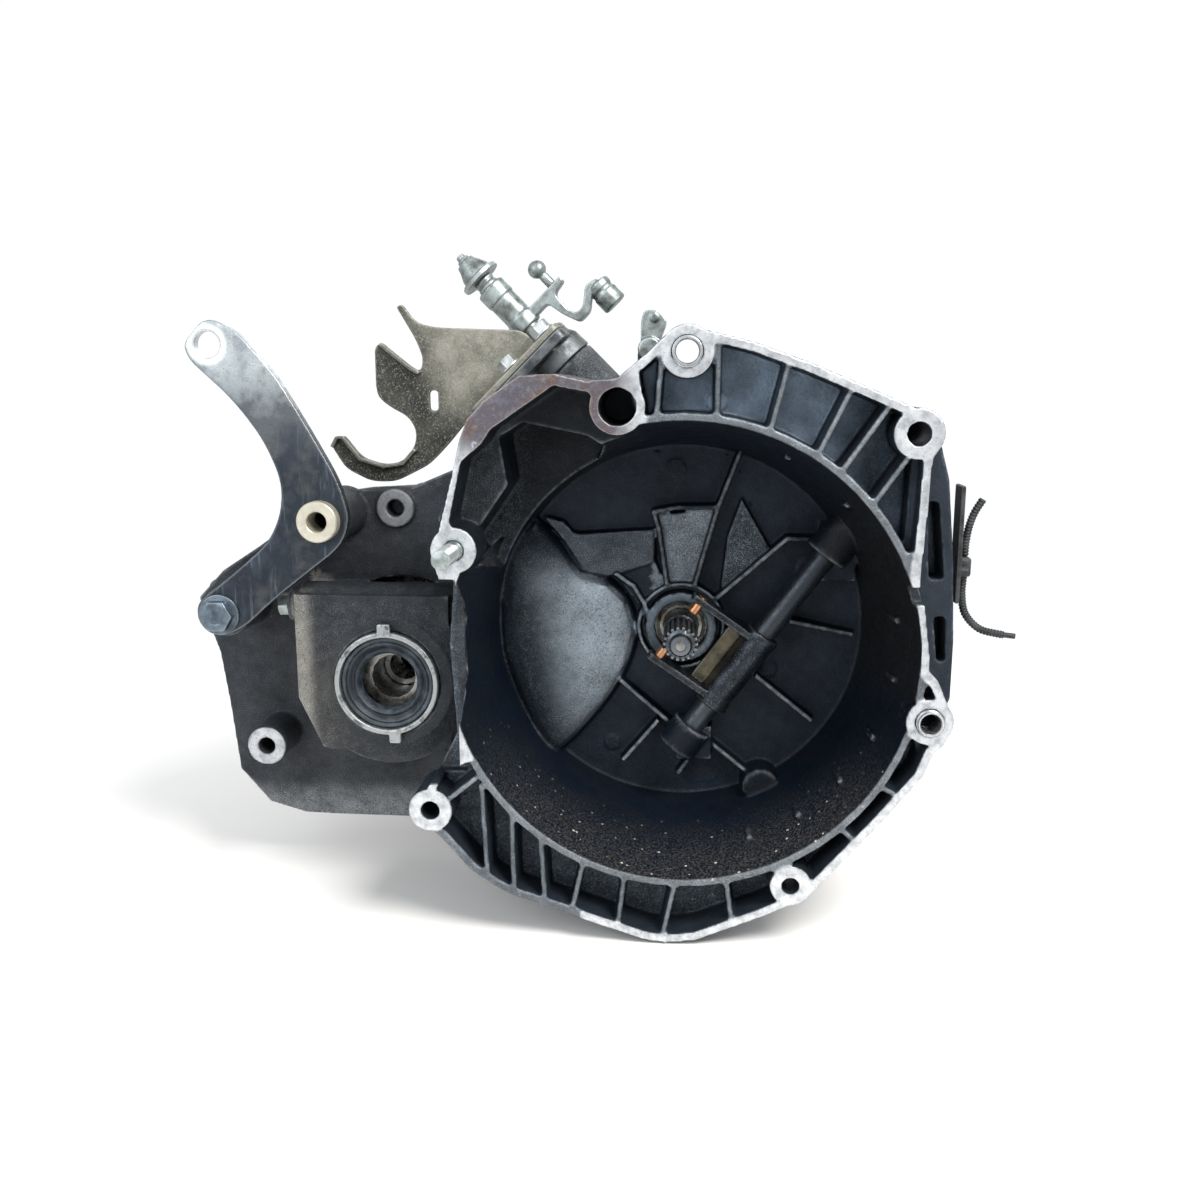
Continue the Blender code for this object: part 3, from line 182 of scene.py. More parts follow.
class Shade:
    """Builds one material: each call adds a node and gives its output socket."""

    def __init__(self, name, **values):
        self.material = bpy.data.materials.new(name)
        self.material.use_nodes = True
        self.tree = self.material.node_tree
        self.shader = self.tree.nodes["Principled BSDF"]
        for socket, value in values.items():
            self.shader.inputs[socket.replace("_", " ")].default_value = value
        self.place = self.tree.nodes.new("ShaderNodeTexCoord").outputs["Object"]

    def put(self, socket, value):
        if isinstance(value, bpy.types.NodeSocket):
            self.tree.links.new(value, socket)
        elif isinstance(value, tuple):
            socket.default_value = (*value, 1.0) if len(value) == 3 and socket.type == "RGBA" else value
        else:
            socket.default_value = value

    def link(self, name, value):
        self.put(self.shader.inputs[name], value)

    def noise(self, scale, detail=4.0, roughness=0.6, stretch=None):
        node = self.tree.nodes.new("ShaderNodeTexNoise")
        node.inputs["Scale"].default_value = scale
        node.inputs["Detail"].default_value = detail
        node.inputs["Roughness"].default_value = roughness
        place = self.place
        if stretch:
            mapping = self.tree.nodes.new("ShaderNodeMapping")
            mapping.inputs["Scale"].default_value = stretch
            self.put(mapping.inputs["Vector"], place)
            place = mapping.outputs["Vector"]
        self.put(node.inputs["Vector"], place)
        return node.outputs["Fac"]

    def cells(self, scale):
        node = self.tree.nodes.new("ShaderNodeTexVoronoi")
        node.inputs["Scale"].default_value = scale
        self.put(node.inputs["Vector"], self.place)
        return node.outputs["Distance"]

    def range(self, value, low, high, first=0.0, last=1.0):
        node = self.tree.nodes.new("ShaderNodeMapRange")
        node.clamp = True
        names = ("Value", "From Min", "From Max", "To Min", "To Max")
        for socket, number in zip(names, (value, low, high, first, last)):
            self.put(node.inputs[socket], number)
        return node.outputs["Result"]

    def calc(self, operation, first, second=None):
        vector = operation == "LENGTH"
        node = self.tree.nodes.new("ShaderNodeVectorMath" if vector else "ShaderNodeMath")
        node.operation = operation
        self.put(node.inputs[0], first)
        if second is not None:
            self.put(node.inputs[1], second)
        return node.outputs["Value"]

    def blend(self, factor, first, last, mode="MIX"):
        node = self.tree.nodes.new("ShaderNodeMix")
        node.data_type = "RGBA"
        node.blend_type = mode
        self.put(node.inputs[0], factor)
        self.put(node.inputs[6], first)
        self.put(node.inputs[7], last)
        return node.outputs[2]

    def attribute(self, name, output="Fac"):
        node = self.tree.nodes.new("ShaderNodeAttribute")
        node.attribute_name = name
        return node.outputs[output]

    def bump(self, height, distance, strength=1.0):
        node = self.tree.nodes.new("ShaderNodeBump")
        node.inputs["Strength"].default_value = strength
        node.inputs["Distance"].default_value = distance
        self.put(node.inputs["Height"], height)
        self.link("Normal", node.outputs["Normal"])


def worn_metal(name, colour, stain, bright, rough=(0.3, 0.6), stains=(0.45, 0.62), scale=70.0, grain=900.0,
               relief=0.00012, metallic=0.9, specks=(0.66, 0.74), stretch=None):
    """Metal with blotches of stain, fine light specks, bright worn edges, and dark grime with painted shade in
    its corners.
    """
    shade = Shade(name, Metallic=metallic)
    blotch = shade.noise(scale, 6.0, 0.62)
    fine = shade.noise(grain, 3.0, 0.6, stretch)
    wear = shade.calc("MULTIPLY", shade.attribute("wear"), shade.range(blotch, 0.3, 0.6, 0.35, 1.0))
    base = shade.blend(shade.range(blotch, *stains), colour, stain)
    base = shade.blend(shade.range(fine, *specks, 0.0, 0.55), base, bright)
    base = shade.blend(wear, base, bright)
    # Corners darken: grime, together with painted shade.
    dirt_and_shade = shade.calc("MULTIPLY", shade.attribute("grime_and_shade"), shade.range(fine, 0.3, 0.7, 1.0, 0.6))
    base = shade.blend(dirt_and_shade, base, tuple(0.25 * part for part in stain))
    shade.link("Base Color", base)
    shade.link("Roughness", shade.range(shade.noise(scale * 2.7, 5.0), 0.3, 0.7, *rough))
    shade.bump(shade.calc("ADD", fine, blotch), relief)
    return shade.material


def oily_steel():
    return worn_metal("oily_steel", (0.36, 0.36, 0.35), (0.13, 0.115, 0.09), (0.6, 0.6, 0.6), (0.18, 0.42),
                      grain=1400.0, relief=0.00004)


def zinc():
    return worn_metal("zinc_plate", (0.42, 0.47, 0.46), (0.15, 0.165, 0.155), (0.74, 0.78, 0.78), (0.28, 0.6),
                      (0.42, 0.66), 110.0, 1300.0, 0.00007)


def dark_steel():
    return worn_metal("dark_oiled_steel", (0.035, 0.043, 0.055), (0.012, 0.013, 0.015), (0.30, 0.34, 0.38),
                      (0.25, 0.55), (0.4, 0.65), 90.0, 1200.0, 0.0001, 0.8, (0.6, 0.75))


def casting_shade(name, relief):
    """Cast aluminium whose broad tones come from the mesh: each place has a tone, a speckle and machining."""
    shade = Shade(name)
    tone = shade.attribute("tone", "Color")
    blotch = shade.noise(42.0, 7.0, 0.62)
    patch = shade.noise(150.0, 5.0, 0.6)
    fine = shade.noise(720.0, 3.0, 0.65)
    dots = shade.noise(1500.0, 2.0, 0.6)
    base = shade.blend(shade.range(blotch, 0.34, 0.66, 0.0, 0.45), tone, (0.002, 0.003, 0.005))
    # Light speckle: partly the casting's grain, partly painted granular highlights.
    speckle = shade.attribute("speckle")
    grain = shade.calc("MULTIPLY", shade.range(dots, 0.47, 0.70), shade.range(patch, 0.36, 0.62, 0.3, 1.0))
    base = shade.blend(shade.calc("MULTIPLY", speckle, grain), base, (0.46, 0.52, 0.56))
    dark_grain = shade.calc("MULTIPLY", speckle, shade.range(fine, 0.46, 0.34, 0.0, 0.6))
    base = shade.blend(dark_grain, base, (0.012, 0.014, 0.018))
    wear = shade.calc("MULTIPLY", shade.attribute("wear"), shade.range(patch, 0.3, 0.62, 0.15, 1.0))
    base = shade.blend(wear, base, (0.46, 0.50, 0.53))
    # Corners darken: grime, together with painted shade.
    grime_and_shade = shade.calc("MULTIPLY", shade.attribute("grime_and_shade"), shade.range(fine, 0.3, 0.7, 1.0, 0.7))
    base = shade.blend(grime_and_shade, base, (0.008, 0.009, 0.011))
    flecks = shade.range(shade.cells(165.0), 0.17, 0.12)
    flecks = shade.calc("MULTIPLY", flecks, shade.range(patch, 0.50, 0.56))
    haze = shade.range(fine, 0.45, 0.75, 0.0, 0.16)
    dust = shade.calc("MULTIPLY", shade.attribute("dust"), shade.calc("MAXIMUM", flecks, haze))
    base = shade.blend(dust, base, (0.68, 0.62, 0.54))
    machined = shade.attribute("machined")
    silver = shade.blend(shade.range(patch, 0.42, 0.68), (0.80, 0.82, 0.84), (0.46, 0.48, 0.51))
    silver = shade.blend(shade.range(fine, 0.60, 0.70, 0.0, 0.8), silver, (0.16, 0.17, 0.19))
    rust = shade.attribute("rust")
    ochre = shade.blend(shade.range(patch, 0.40, 0.60), (0.105, 0.078, 0.085), (0.20, 0.20, 0.24))
    ochre = shade.blend(shade.range(blotch, 0.50, 0.62, 0.0, 0.8), ochre, (0.16, 0.085, 0.05))
    ochre = shade.blend(shade.range(dots, 0.58, 0.70, 0.0, 0.6), ochre, (0.42, 0.41, 0.46))
    ochre = shade.blend(shade.calc("MULTIPLY", shade.attribute("wear"), 0.9), ochre, (0.46, 0.24, 0.11))
    silver = shade.blend(shade.calc("MULTIPLY", rust, shade.range(patch, 0.3, 0.5, 0.75, 1.0)), silver, ochre)
    base = shade.blend(machined, base, silver)
    shade.link("Base Color", base)
    gloss = shade.calc("MAXIMUM", shade.attribute("shine"), machined)
    shade.link("Metallic", shade.range(gloss, 0.0, 1.0, 0.0, 0.95))
    rough = shade.range(blotch, 0.3, 0.7, 0.40, 0.66)
    shade.link("Roughness", shade.calc("SUBTRACT", rough, shade.calc("MULTIPLY", machined, 0.1)))
    height = shade.calc("ADD", shade.calc("MULTIPLY", fine, 0.6), patch)
    flat = shade.range(machined, 0.0, 1.0, 1.0, 0.25)
    shade.bump(shade.calc("MULTIPLY", height, flat), relief)
    shade.link("Specular IOR Level", 0.25)
    return shade.material


def plastic(name, colour, pale, rough=(0.45, 0.75), relief=0.0001):
    """Dull black plastic or rubber with dust lying in patches."""
    shade = Shade(name, Metallic=0.0)
    patch = shade.noise(120.0, 6.0, 0.65)
    fine = shade.noise(1100.0, 3.0)
    base = shade.blend(shade.range(patch, 0.45, 0.7, 0.0, 0.8), colour, pale)
    base = shade.blend(shade.range(fine, 0.62, 0.72, 0.0, 0.5), base, pale)
    shade.link("Base Color", shade.blend(shade.attribute("wear"), base, pale))
    shade.link("Roughness", shade.range(patch, 0.3, 0.7, *rough))
    shade.bump(fine, relief)
    return shade.material


# ---------------------------------------------------------------- shapes


def object_of(bm, name="shape"):
    bmesh.ops.recalc_face_normals(bm, faces=bm.faces)
    mesh = bpy.data.meshes.new(name)
    bm.to_mesh(mesh)
    bm.free()
    obj = bpy.data.objects.new(name, mesh)
    bpy.context.scene.collection.objects.link(obj)
    return obj


def skinned(rings, bored=False, matrix=None):
    """A closed skin over rings of points, all with the same count."""
    bm = bmesh.new()
    made = [[bm.verts.new(point) for point in ring] for ring in rings]
    pairs = list(zip(made, made[1:]))
    if bored:
        pairs.append((made[-1], made[0]))
    else:
        bm.faces.new(made[0])
        bm.faces.new(made[-1])
    for near, far in pairs:
        for i in range(len(near)):
            j = (i + 1) % len(near)
            bm.faces.new((near[i], near[j], far[j], far[i]))
    if matrix is not None:
        bmesh.ops.transform(bm, matrix=matrix, verts=bm.verts)
    bmesh.ops.scale(bm, vec=(MM, MM, MM), verts=bm.verts)
    return object_of(bm)


def aim(point, direction):
    turn = Y_AXIS.rotation_difference(Vector(direction).normalized()).to_matrix().to_4x4()
    return Matrix.Translation(Vector(point)) @ turn


def ring(radius, distance, steps=64):
    """Points round the Y axis; the radius and the distance may depend on the angle."""
    points = []
    for i in range(steps):
        angle = math.tau * i / steps
        reach = radius(angle) if callable(radius) else radius
        height = distance(angle) if callable(distance) else distance
        points.append((reach * math.cos(angle), height, reach * math.sin(angle)))
    return points


def turned(profile, point=(0, 0, 0), direction=(0, 1, 0), bored=False, steps=64):
    """A lathe shape from (radius, distance along the axis) points."""
    return skinned([ring(radius, y, steps) for radius, y in profile], bored, aim(point, direction))


def sleeve(inner, outer, first, last, point=(0, 0, 0), steps=64):
    """A plain bored ring between two distances along Y."""
    return turned(rectangle(inner, outer, first, last), point, bored=True, steps=steps)


def on_selector(profile, bored=False):
    return turned(profile, SELECTOR_POINT, SELECTOR_UP, bored)


def on_release(profile, bored=False):
    return turned(profile, RELEASE_POINT, RELEASE_ALONG, bored)


def rectangle(left, right, low, high):
    return [(left, low), (right, low), (right, high), (left, high)]


def at(centre):
    return (centre[0], 0.0, centre[1])


def hex_radius(flat):
    half = math.pi / 6
    return lambda angle: flat / 2 / math.cos((angle % (2 * half)) - half)


def bolt(flat, height, point, direction, washer=0.0, thick=0.0, shank=0.0, depth=4.0):
    """A dished, chamfered hexagon head over its washer; the direction runs from head to shank."""
    side = hex_radius(flat)

    def chamfer(angle):
        return max(0.0, (side(angle) - flat * 0.485) * 0.55)

    rings = [ring(flat * 0.26, 0.5), ring(flat * 0.3, 0.0), ring(flat * 0.47, 0.0), ring(side, chamfer)]
    rings.append(ring(side, height))
    if washer:
        rings += [ring(washer - 0.5, height), ring(washer, height + 0.4), ring(washer, height + thick)]
    if shank:
        rings += [ring(shank, height + thick), ring(shank, height + thick + depth)]
    return skinned(rings, False, aim(point, direction))


def thread(radius, first, last, pitch, depth, steps=36):
    """Rings of a screw thread."""
    rings = []
    count = int((last - first) / pitch * 7)
    for i in range(count + 1):
        y = first + (last - first) * i / count

        def wave(angle, y=y):
            return radius - depth * (0.5 + 0.5 * math.cos(math.tau * y / pitch + angle))

        rings.append(ring(wave, y, steps))
    return rings


def rounded(outline, radius, steps=5, closed=True):
    """The outline with its corners turned into arcs as wide as their sides allow."""
    points = []
    count = len(outline)
    for i, corner in enumerate(outline):
        here = Vector(corner)
        before = Vector(outline[i - 1]) - here
        after = Vector(outline[(i + 1) % count]) - here
        reach = min(radius, before.length * 0.48, after.length * 0.48)
        start = here + before.normalized() * reach
        end = here + after.normalized() * reach
        for i_arc in range(steps + 1):
            t = i_arc / steps
            points.append(tuple(start * (1 - t) ** 2 + here * 2 * t * (1 - t) + end * t**2))
    return points


def sheet(outline, origin, across, up, thickness):
    """An outline on two directions, thickened by half each way."""
    normal = Vector(across).cross(Vector(up)).normalized() * (thickness / 2)
    rings = []
    for shift in (-normal, normal):
        rings.append([Vector(origin) + Vector(across) * u + Vector(up) * v + shift for u, v in outline])
    return skinned(rings)


def plate(outline, first, last):
    """An outline in the XZ plane between two planes."""
    return skinned([[(x, y, z) for x, z in outline] for y in (first, last)])


def join(parts, name):
    bm = bmesh.new()
    for part in parts:
        bm.from_mesh(part.data)
        bpy.data.objects.remove(part)
    return object_of(bm, name)


def copy_of(node):
    obj = bpy.data.objects.new(node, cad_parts[node].data.copy())
    bpy.context.scene.collection.objects.link(obj)
    return obj


def apply(obj):
    graph = bpy.context.evaluated_depsgraph_get()
    mesh = bpy.data.meshes.new_from_object(obj.evaluated_get(graph))
    obj.modifiers.clear()
    obj.data = mesh
    return obj


def cut(obj, cutters):
    for cutter in cutters:
        modifier = obj.modifiers.new("cut", "BOOLEAN")
        modifier.operation = "DIFFERENCE"
        modifier.object = cutter
        apply(obj)
        bpy.data.objects.remove(cutter)
    return obj


def bevelled(obj, width, segments=2, angle=28.0):
    """Rounds the sharp edges."""
    modifier = obj.modifiers.new("bevel", "BEVEL")
    modifier.width = width * MM
    modifier.segments = segments
    modifier.limit_method = "ANGLE"
    modifier.angle_limit = math.radians(angle)
    modifier.use_clamp_overlap = True
    return apply(obj)


def refined(obj, longest):
    """Splits edges longer than a length, so that flat stretches have points to carry wear and tone."""
    bm = bmesh.new()
    bm.from_mesh(obj.data)
    for _ in range(4):
        long_edges = [edge for edge in bm.edges if edge.calc_length() > longest * MM]
        if not long_edges:
            break
        bmesh.ops.subdivide_edges(bm, edges=long_edges, cuts=1)
        bmesh.ops.triangulate(bm, faces=[face for face in bm.faces if len(face.verts) > 3])
    bm.to_mesh(obj.data)
    bm.free()
    return obj


def fused(parts, name, voxel, softness=3, faces=0):
    """Joins closed shapes into one skin with soft edges, thinned down to a count of triangles."""
    obj = join(parts, name)
    remesh = obj.modifiers.new("fuse", "REMESH")
    remesh.mode = "VOXEL"
    remesh.voxel_size = voxel * MM
    smooth = obj.modifiers.new("soften", "SMOOTH")
    smooth.factor = 0.5
    smooth.iterations = softness
    apply(obj)
    count = len(obj.data.polygons) * 2
    if faces and count > faces:
        thin = obj.modifiers.new("thin", "DECIMATE")
        thin.ratio = faces / count
        apply(obj)
    return obj


# ---------------------------------------------------------------- wear, read from the mesh


def points_of(obj):
    """Vertex places in millimetres and their normals."""
    count = len(obj.data.vertices)
    place = np.empty(count * 3, np.float32)
    obj.data.vertices.foreach_get("co", place)
    normal = np.empty(count * 3, np.float32)
    obj.data.vertex_normals.foreach_get("vector", normal)
    return place.reshape(-1, 3).astype(float) / MM, normal.reshape(-1, 3).astype(float)


def edges_of(obj):
    edges = np.empty(len(obj.data.edges) * 2, np.int32)
    obj.data.edges.foreach_get("vertices", edges)
    return edges.reshape(-1, 2)


def spread(values, edges, rounds):
    """Averages a value with its neighbours."""
    count = len(values)
    near = np.bincount(edges.ravel(), minlength=count) + 1e-9
    for _ in range(rounds):
        total = np.bincount(edges[:, 0], values[edges[:, 1]], count)
        total += np.bincount(edges[:, 1], values[edges[:, 0]], count)
        values = 0.5 * values + 0.5 * total / near
    return values


def bend(obj):
    """How sharply the surface bends at each vertex, per millimetre: above 0 on edges, below 0 in corners."""
    place, normal = points_of(obj)
    edges = edges_of(obj)
    along = place[edges[:, 1]] - place[edges[:, 0]]
    turn = normal[edges[:, 1]] - normal[edges[:, 0]]
    value = (turn * along).sum(1) / ((along**2).sum(1) + 0.3)
    count = len(place)
    total = np.bincount(edges[:, 0], value, count) + np.bincount(edges[:, 1], value, count)
    return total / (np.bincount(edges.ravel(), minlength=count) + 1e-9), edges


def store(obj, name, values):
    kind = "FLOAT" if values.ndim == 1 else "FLOAT_COLOR"
    layer = obj.data.attributes.new(name, kind, "POINT")
    if values.ndim == 1:
        layer.data.foreach_set("value", values.astype(np.float32))
    else:
        full = np.concatenate([values, np.ones((len(values), 1))], 1)
        layer.data.foreach_set("color", full.astype(np.float32).ravel())


def age_and_shade(obj, wear=1.0, grime_and_shade=1.0):
    """Stores bright wear on the edges, and grime with painted shade in the corners."""
    value, edges = bend(obj)
    store(obj, "wear", np.clip(value * 2.2 - 0.15, 0, 1) * wear)
    # Corners: grime together with painted shade where light is blocked.
    store(obj, "grime_and_shade", spread(np.clip(-value * 3.0 - 0.1, 0, 1), edges, 3) * grime_and_shade)


def step(value, low, high):
    """0 below one value and 1 above another, with a smooth rise between them."""
    t = np.clip((value - low) / (high - low), 0, 1)
    return t * t * (3 - 2 * t)


def inside(place, outline):
    """Which points lie inside an outline of (x, z) points."""
    x, z = place[:, 0], place[:, 2]
    found = np.zeros(len(place), bool)
    for (x0, z0), (x1, z1) in zip(outline, outline[1:] + outline[:1]):
        crossing = (z0 > z) != (z1 > z)
        level = np.where(crossing, (z - z0) / (z1 - z0 + 1e-9), 0.0)
        found ^= crossing & (x < x0 + level * (x1 - x0))
    return found


# ---------------------------------------------------------------- pieces

MATERIALS = {}


def piece(obj, name, body, material, nodes=(), slot=None, smooth=35.0, wear=1.0, grime_and_shade=1.0):
    """Ages a shape, with worn edges and grime and painted shade in its corners, names it, gives it its material
    and places it in the frame.
    """
    if wear:
        age_and_shade(obj, wear, grime_and_shade)
    obj.name = name
    obj.data.name = name
    obj.data.materials.clear()
    obj.data.materials.append(MATERIALS[material])
    obj.data.shade_smooth()
    if smooth:
        obj.data.set_sharp_from_angle(angle=math.radians(smooth))
    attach(obj, body)
    if nodes:
        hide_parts(*nodes)
    slot or nodes[0]
    return obj


def route(points, spacing):
    """Points along a smooth curve through a few, a spacing apart."""
    points = [Vector(point) for point in points]
    points = [points[0] * 2 - points[1], *points, points[-1] * 2 - points[-2]]
    path = []
    for i in range(1, len(points) - 2):
        a, b, c, d = points[i - 1 : i + 3]
        steps = max(1, round((c - b).length / spacing))
        for step_index in range(steps):
            t = step_index / steps
            bent = (2 * a - 5 * b + 4 * c - d) * t * t + (3 * b - a - 3 * c + d) * t**3
            path.append(0.5 * (2 * b + (c - a) * t + bent))
    return path + [points[-2]]


def conduit(name):
    """Corrugated conduit; the long one ends in a bare, thinner tip."""
    path = route(CONDUIT_ROUTES[name], 0.3)
    length = sum((b - a).length for a, b in zip(path, path[1:]))
    rings = []
    done = 0.0
    for i, here in enumerate(path):
        tangent = (path[min(i + 1, len(path) - 1)] - path[max(i - 1, 0)]).normalized()
        side = tangent.cross(Y_AXIS).normalized()
        other = side.cross(tangent)
        radius = CONDUIT_DIAMETER / 2 - 0.45 * (0.5 + 0.5 * math.cos(math.tau * done / 1.9))
        if name == "conduit_long" and length - done < 7.0:
            radius = 1.7
        turn = [math.tau * k / 20 for k in range(20)]
        rings.append([here + side * math.cos(a) * radius + other * math.sin(a) * radius for a in turn])
        done += 0.0 if i == len(path) - 1 else (path[i + 1] - here).length
    tube = piece(skinned(rings), name + "_tube", "housing", "conduit", [name], smooth=50.0, wear=0.0)


BULGE = [
    (-91, -98), (-77, -86), (-53, -58), (-36.5, -30), (-30.4, -4.4), (-36.7, 18), (-50, 31), (-70, 37),
    (-84, 58), (-100, 74), (-122, 60), (-128, 20), (-126, -20), (-116, -48), (-102, -81),
]
PLATEAU = [(-68, 38), (-50, 33.5), (-19, 44), (-19, 67), (-74.5, 63), (-81.5, 72), (-95.5, 75), (-82, 60)]
RING_MARKS = ((-70, 60), (-69, 51), (-60, 52), (-42, 62))
CORNER_HOLLOW = [
    (-146, 84), (-136, 46), (-96, 80), (-60, 108), (-26, 128), (-33, 166), (-58, 166), (-97, 166), (-128, 142),
]

# Round marks left by the mould's pins, as (x, z, y, radius).
EJECTOR_PADS = (
    (20, 155, 27.0, 6.0), (108, 98, 27.0, 6.0), (-48, -88, 106.0, 5.0), (62, -32, 106.0, 5.0),
    (86, 40, 106.0, 6.5), (-5, 108, 106.0, 6.0),
)


def flange_bosses():
    """Round rings over the flange's bosses, chamfered at their bores."""
    for x, z, radius, bore in FLANGE_BOSSES.values():
        profile = [(bore + 0.8, 0), (radius, 0), (radius, 42), (bore, 42), (bore, 0.8)]
        yield turned(profile, (x, 0, z), bored=True)


def offset(outline, distance):
    """The outline moved out from its middle by a distance."""
    middle = sum((Vector(point) for point in outline), Vector((0.0, 0.0))) / len(outline)
    return [tuple(Vector(point) + (Vector(point) - middle).normalized() * distance) for point in outline]


def domed(outline, levels):
    """A solid through copies of an outline, each moved out by a distance and set at a Y."""
    return skinned([[(x, y, z) for x, z in offset(outline, distance)] for distance, y in levels])


def bell_extras():
    """What the casting carries besides the CAD solid's shape."""
    yield from flange_bosses()
    bulge = ((-34, 88.6), (-22, 89.0), (-13, 90.2), (-6, 93.0), (-1, 97.5), (1.6, 103), (1.8, 108))
    yield domed(rounded(BULGE, 18.0, 6), bulge)
    yield domed(rounded(PLATEAU, 6.0), ((-1.5, 97.6), (0.6, 99.6), (0.8, 108)))
    tower_face = [(44, 50.4), (47, 51.2), (52, 53.2), (58, 55), (58, 90), (36.5, 90), (36.5, 50.4)]
    yield turned(tower_face, at(FINAL), bored=True)
    yield turned([(13, -260), (17, -256), (17, -166), (12, -150)], (0, 70, 16), (1, 0, 0))
    yield turned([(13, -246), (17, -242), (17, -160), (12, -150)], (0, 70, -68), (1, 0, 0))
    for x, z, depth, radius in EJECTOR_PADS:
        yield turned([(radius, depth - 1.2), (radius, depth + 2)], (x, 0, z))
    for mark in RING_MARKS:
        yield sleeve(1.5, 3.0, 98.9, 101, at(mark), 32)
    yield turned([(28.2, 97), (30.3, 96), (30.6, 108), (28.2, 108)], bored=True)
    for radius, first in ((24.4, 92.0), (21.5, 91.0)):
        yield sleeve(19, radius, first, 108)
    ring_seat = [(36.2, 50), (44, 50), (44.4, 53), (46, 60), (46, 110), (36.2, 110)]
    yield turned(ring_seat, at(FINAL), bored=True)
    yield turned([(6, 66), (13.5, 66), (14, 112), (6, 112)], at(EAR_BOSS), bored=True)
    yield sleeve(6, 13.5, 98, 112, at(REAR_BOSS))
    for centre in (ARM_SPACER, ARM_BOLT):
        yield turned([(6.8, 60), (17, 60), (17.5, 112), (6.8, 112)], at(centre), bored=True)
    yield turned([(8, 0), (10, 0), (12, 2), (12, 101)], (-266, 72, 17), (1, 0, 0))
    yield turned([(10, 0), (12, 2), (12, 91)], (-243, 72, -68), (1, 0, 0))
    yield turned([(10.5, 84.5), (12.5, 86), (13.5, 108)], (57, 0, -112))
    for low, high, radius in ((-70, -50, 14.0), (98, 122, 14.5)):
        hub = [(8.4, low), (radius - 1, low), (radius, low + 1), (radius, high), (8.4, high)]
        yield on_release(hub, True)


def skirt_ribs():
    """Ribs down the outside of the bell, from the flange to the joint."""
    for degrees in (-70, -55, -40, -25, -8, 8, 42, 62):
        angle = math.radians(degrees)
        out = Vector((math.cos(angle), 0.0, math.sin(angle)))
        profile = ((136, 34), (152, 34), (143, 60), (138, 112), (128, 112))
        points = [out * reach + Y_AXIS * y for reach, y in profile]
        side = out.cross(Y_AXIS) * 1.8
        yield skinned([[point + side for point in points], [point - side for point in points]])


def snap_rounds(obj, rounds, planes, reach=0.9):
    """Brings points near a turned surface or a machined plane exactly onto it."""
    place, normal = points_of(obj)
    for centre, radius, first, last in rounds:
        away = place[:, [0, 2]] - np.array(centre)
        distance = np.hypot(away[:, 0], away[:, 1])
        goal = np.interp(place[:, 1], (first, last), radius) if isinstance(radius, tuple) else radius
        flow = np.abs((normal[:, [0, 2]] * away).sum(1)) / (distance + 1e-9)
        within = (place[:, 1] > first) & (place[:, 1] < last)
        chosen = (np.abs(distance - goal) < reach) & within & (flow > 0.7)
        factor = np.where(chosen, goal / (distance + 1e-9), 1.0)
        place[:, [0, 2]] = np.array(centre) + away * factor[:, None]
    for level in planes:
        chosen = (np.abs(place[:, 1] - level) < 0.5) & (normal[:, 1] < -0.8)
        place[chosen, 1] = level
    obj.data.vertices.foreach_set("co", (place * MM).astype(np.float32).ravel())
    obj.data.update()


